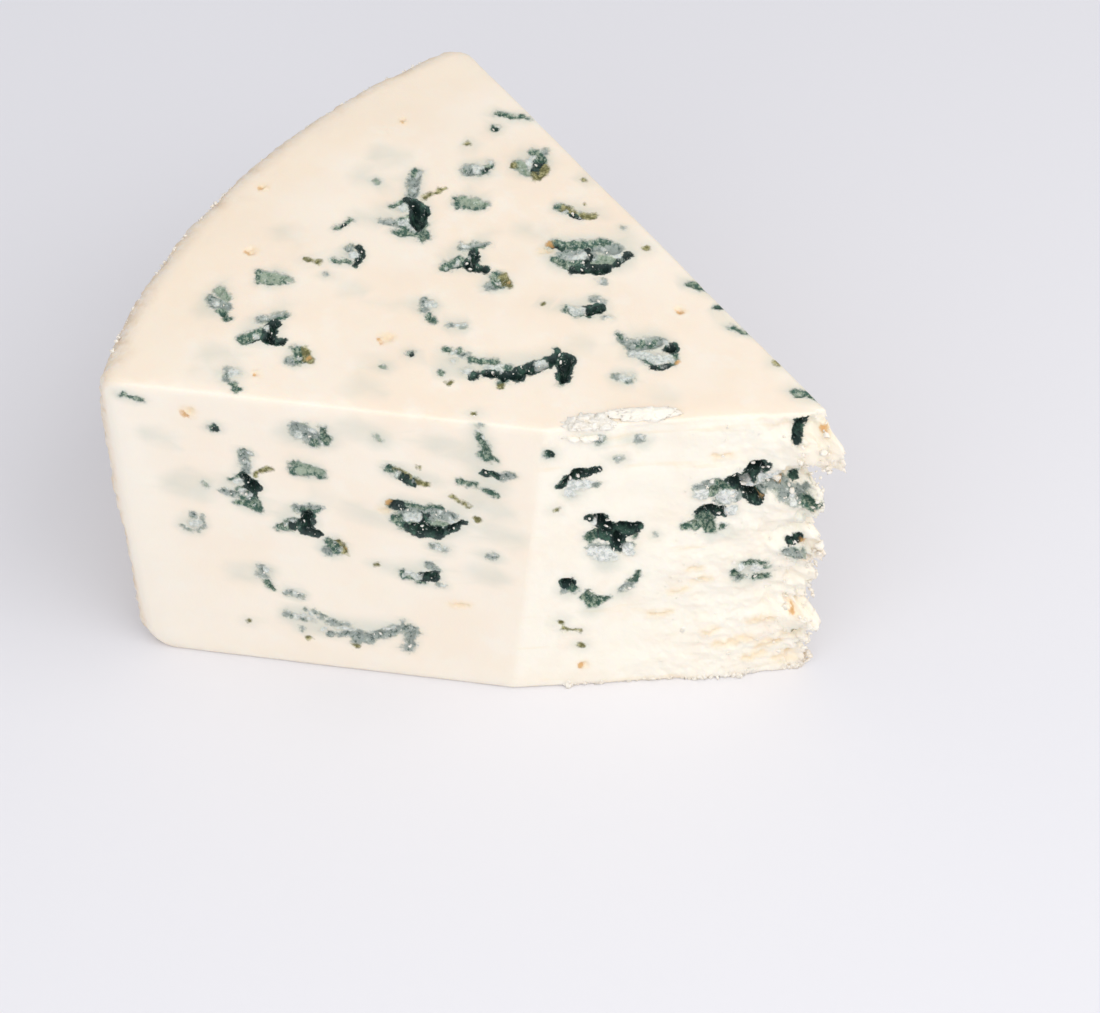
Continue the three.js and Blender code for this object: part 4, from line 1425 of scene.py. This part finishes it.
    def flake(self) -> None:
        """Lays the smeared flake of paste along the top edge of the break."""
        dice = self.dice
        face = the_break(self.faces)
        top = self.shape.height
        heading = math.atan2(face.right[1], face.right[0])
        for index, share in enumerate(np.linspace(0.085, 0.235, self.flake_lumps)):
            half = (dice.uniform(0.8, 1.5), dice.uniform(0.5, 0.9), dice.uniform(0.35, 0.6))
            place = face.origin + face.right * share * face.width
            place = place + face.outward * dice.uniform(-1.7, -0.1)
            place[2] = top + dice.uniform(-0.3, 0.12)
            if index % 3 == 0:
                place = place + face.outward * 0.2
                place[2] = top - dice.uniform(0.5, 2.4)
            turn = Matrix.Rotation(heading + dice.uniform(-0.6, 0.6), 3, "Z")
            key = dice.uniform(0, 90)
            self.crumbs.append(Crumb(tuple(place), half, turn, key, detail=3, rough=0.6))
        lean = Matrix.Rotation(heading - 0.05, 3, "Z") @ Matrix.Rotation(0.25, 3, "X")
        place = face.origin + face.right * 0.35 * face.width - face.outward * 1.4
        place[2] = top + 0.3
        half = (4.6, 1.05, 0.55)
        self.crumbs.append(Crumb(tuple(place), half, lean, 8.7, detail=5, bend=0.25, rough=0.3))


@dataclass(frozen=True)
class FloorFinish:
    """A plain pale tabletop."""

    colour: Colour = (0.80, 0.795, 0.82, 1.0)

    def build(self) -> bpy.types.Material:
        """Makes the material."""
        material = bpy.data.materials.new("pale_floor")
        n = Nodes(material)
        shader = n.add("ShaderNodeBsdfPrincipled")
        shader.inputs["Base Color"].default_value = self.colour
        shader.inputs["Roughness"].default_value = 0.6
        shader.inputs["Specular IOR Level"].default_value = 0.2
        output = n.add("ShaderNodeOutputMaterial")
        n.join(shader.outputs[0], output.inputs["Surface"])
        return material


@dataclass
class Studio:
    """The floor, the lights and the camera, in metres and degrees."""

    azimuth: float = 33.0
    elevation: float = 46.1
    distance: float = 0.4628
    lens: float = 114.28
    look_share: tuple[float, float, float] = (0.6, 0.409, 0.48)
    floor_width: float = 6.0

    def look_at(self) -> Vector:
        """The point that the camera looks at, by shares of the CAD box."""
        low, high = cad_box
        return Vector([a + s * (b - a) for a, b, s in zip(low, high, self.look_share)])

    @staticmethod
    def towards(azimuth: float, elevation: float) -> Vector:
        """The direction out to a place round the object: azimuth 0 is in front, 90 to its right."""
        a, e = math.radians(azimuth), math.radians(elevation)
        return Vector((math.sin(a) * math.cos(e), -math.cos(a) * math.cos(e), math.sin(e)))

    def stand(
        self, data: bpy.types.ID, azimuth: float, elevation: float, distance: float
    ) -> bpy.types.Object:
        """Stands a camera or lamp round the object and turns it to face the object."""
        made = put_in_scene(data.name, data)
        back = self.towards(azimuth, elevation)
        made.location = self.look_at() + back * distance
        made.rotation_euler = (-back).to_track_quat("-Z", "Y").to_euler()
        return made

    def build(self) -> None:
        """Makes the whole studio."""
        self.floor()
        self.camera()
        self.light("key", 92.0, 48.0, 0.58, 0.55, 1.42, (1.0, 0.985, 0.965))
        self.light("fill", 15.0, 42.0, 0.64, 0.6, 1.42, (0.975, 0.985, 1.0))
        world = bpy.data.worlds.new("soft_room")
        world.use_nodes = True
        background = world.node_tree.nodes["Background"]
        background.inputs["Color"].default_value = (0.95, 0.955, 1.0, 1.0)
        background.inputs["Strength"].default_value = 0.66
        bpy.context.scene.world = world
        bpy.context.scene.view_settings.view_transform = "Standard"
        log.info("studio: floor, camera, two lights")

    def floor(self) -> None:
        """Makes the floor."""
        bm = bmesh.new()
        bmesh.ops.create_grid(bm, x_segments=1, y_segments=1, size=self.floor_width / 2.0)
        floor = Paste.as_object(bm, "floor")
        floor.data.materials.append(FloorFinish().build())

    def camera(self) -> None:
        """Makes the camera."""
        data = bpy.data.cameras.new("camera")
        data.lens = self.lens
        data.sensor_width = 36.0
        bpy.context.scene.camera = self.stand(data, self.azimuth, self.elevation, self.distance)

    def light(
        self,
        name: str,
        azimuth: float,
        elevation: float,
        distance: float,
        width: float,
        power: float,
        colour: tuple[float, float, float],
    ) -> None:
        """Makes one soft square light that faces the object.

        Args:
            name: Its name.
            azimuth: Where it stands round the object, in degrees.
            elevation: Its height above the floor, in degrees.
            distance: How far away it is, in metres.
            width: Its width, in metres.
            power: Its power, in watts.
            colour: Its colour.
        """
        data = bpy.data.lights.new(name, "AREA")
        data.shape = "SQUARE"
        data.size = width
        data.energy = power
        data.color = colour
        self.stand(data, azimuth, elevation, distance)


def main() -> None:
    """Builds the wedge and its studio."""
    logging.basicConfig(level=logging.INFO, format="%(name)s: %(message)s")
    shape = Slice()
    faces = shape.faces()
    finish = CheeseFinish().build()
    body = Paste(shape, Mould(faces, MouldDepths())).build()
    body.data.materials.clear()
    body.data.materials.append(finish)
    Crumbs(shape, faces).build(finish)
    Studio().build()


if __name__ == "__main__":
    main()
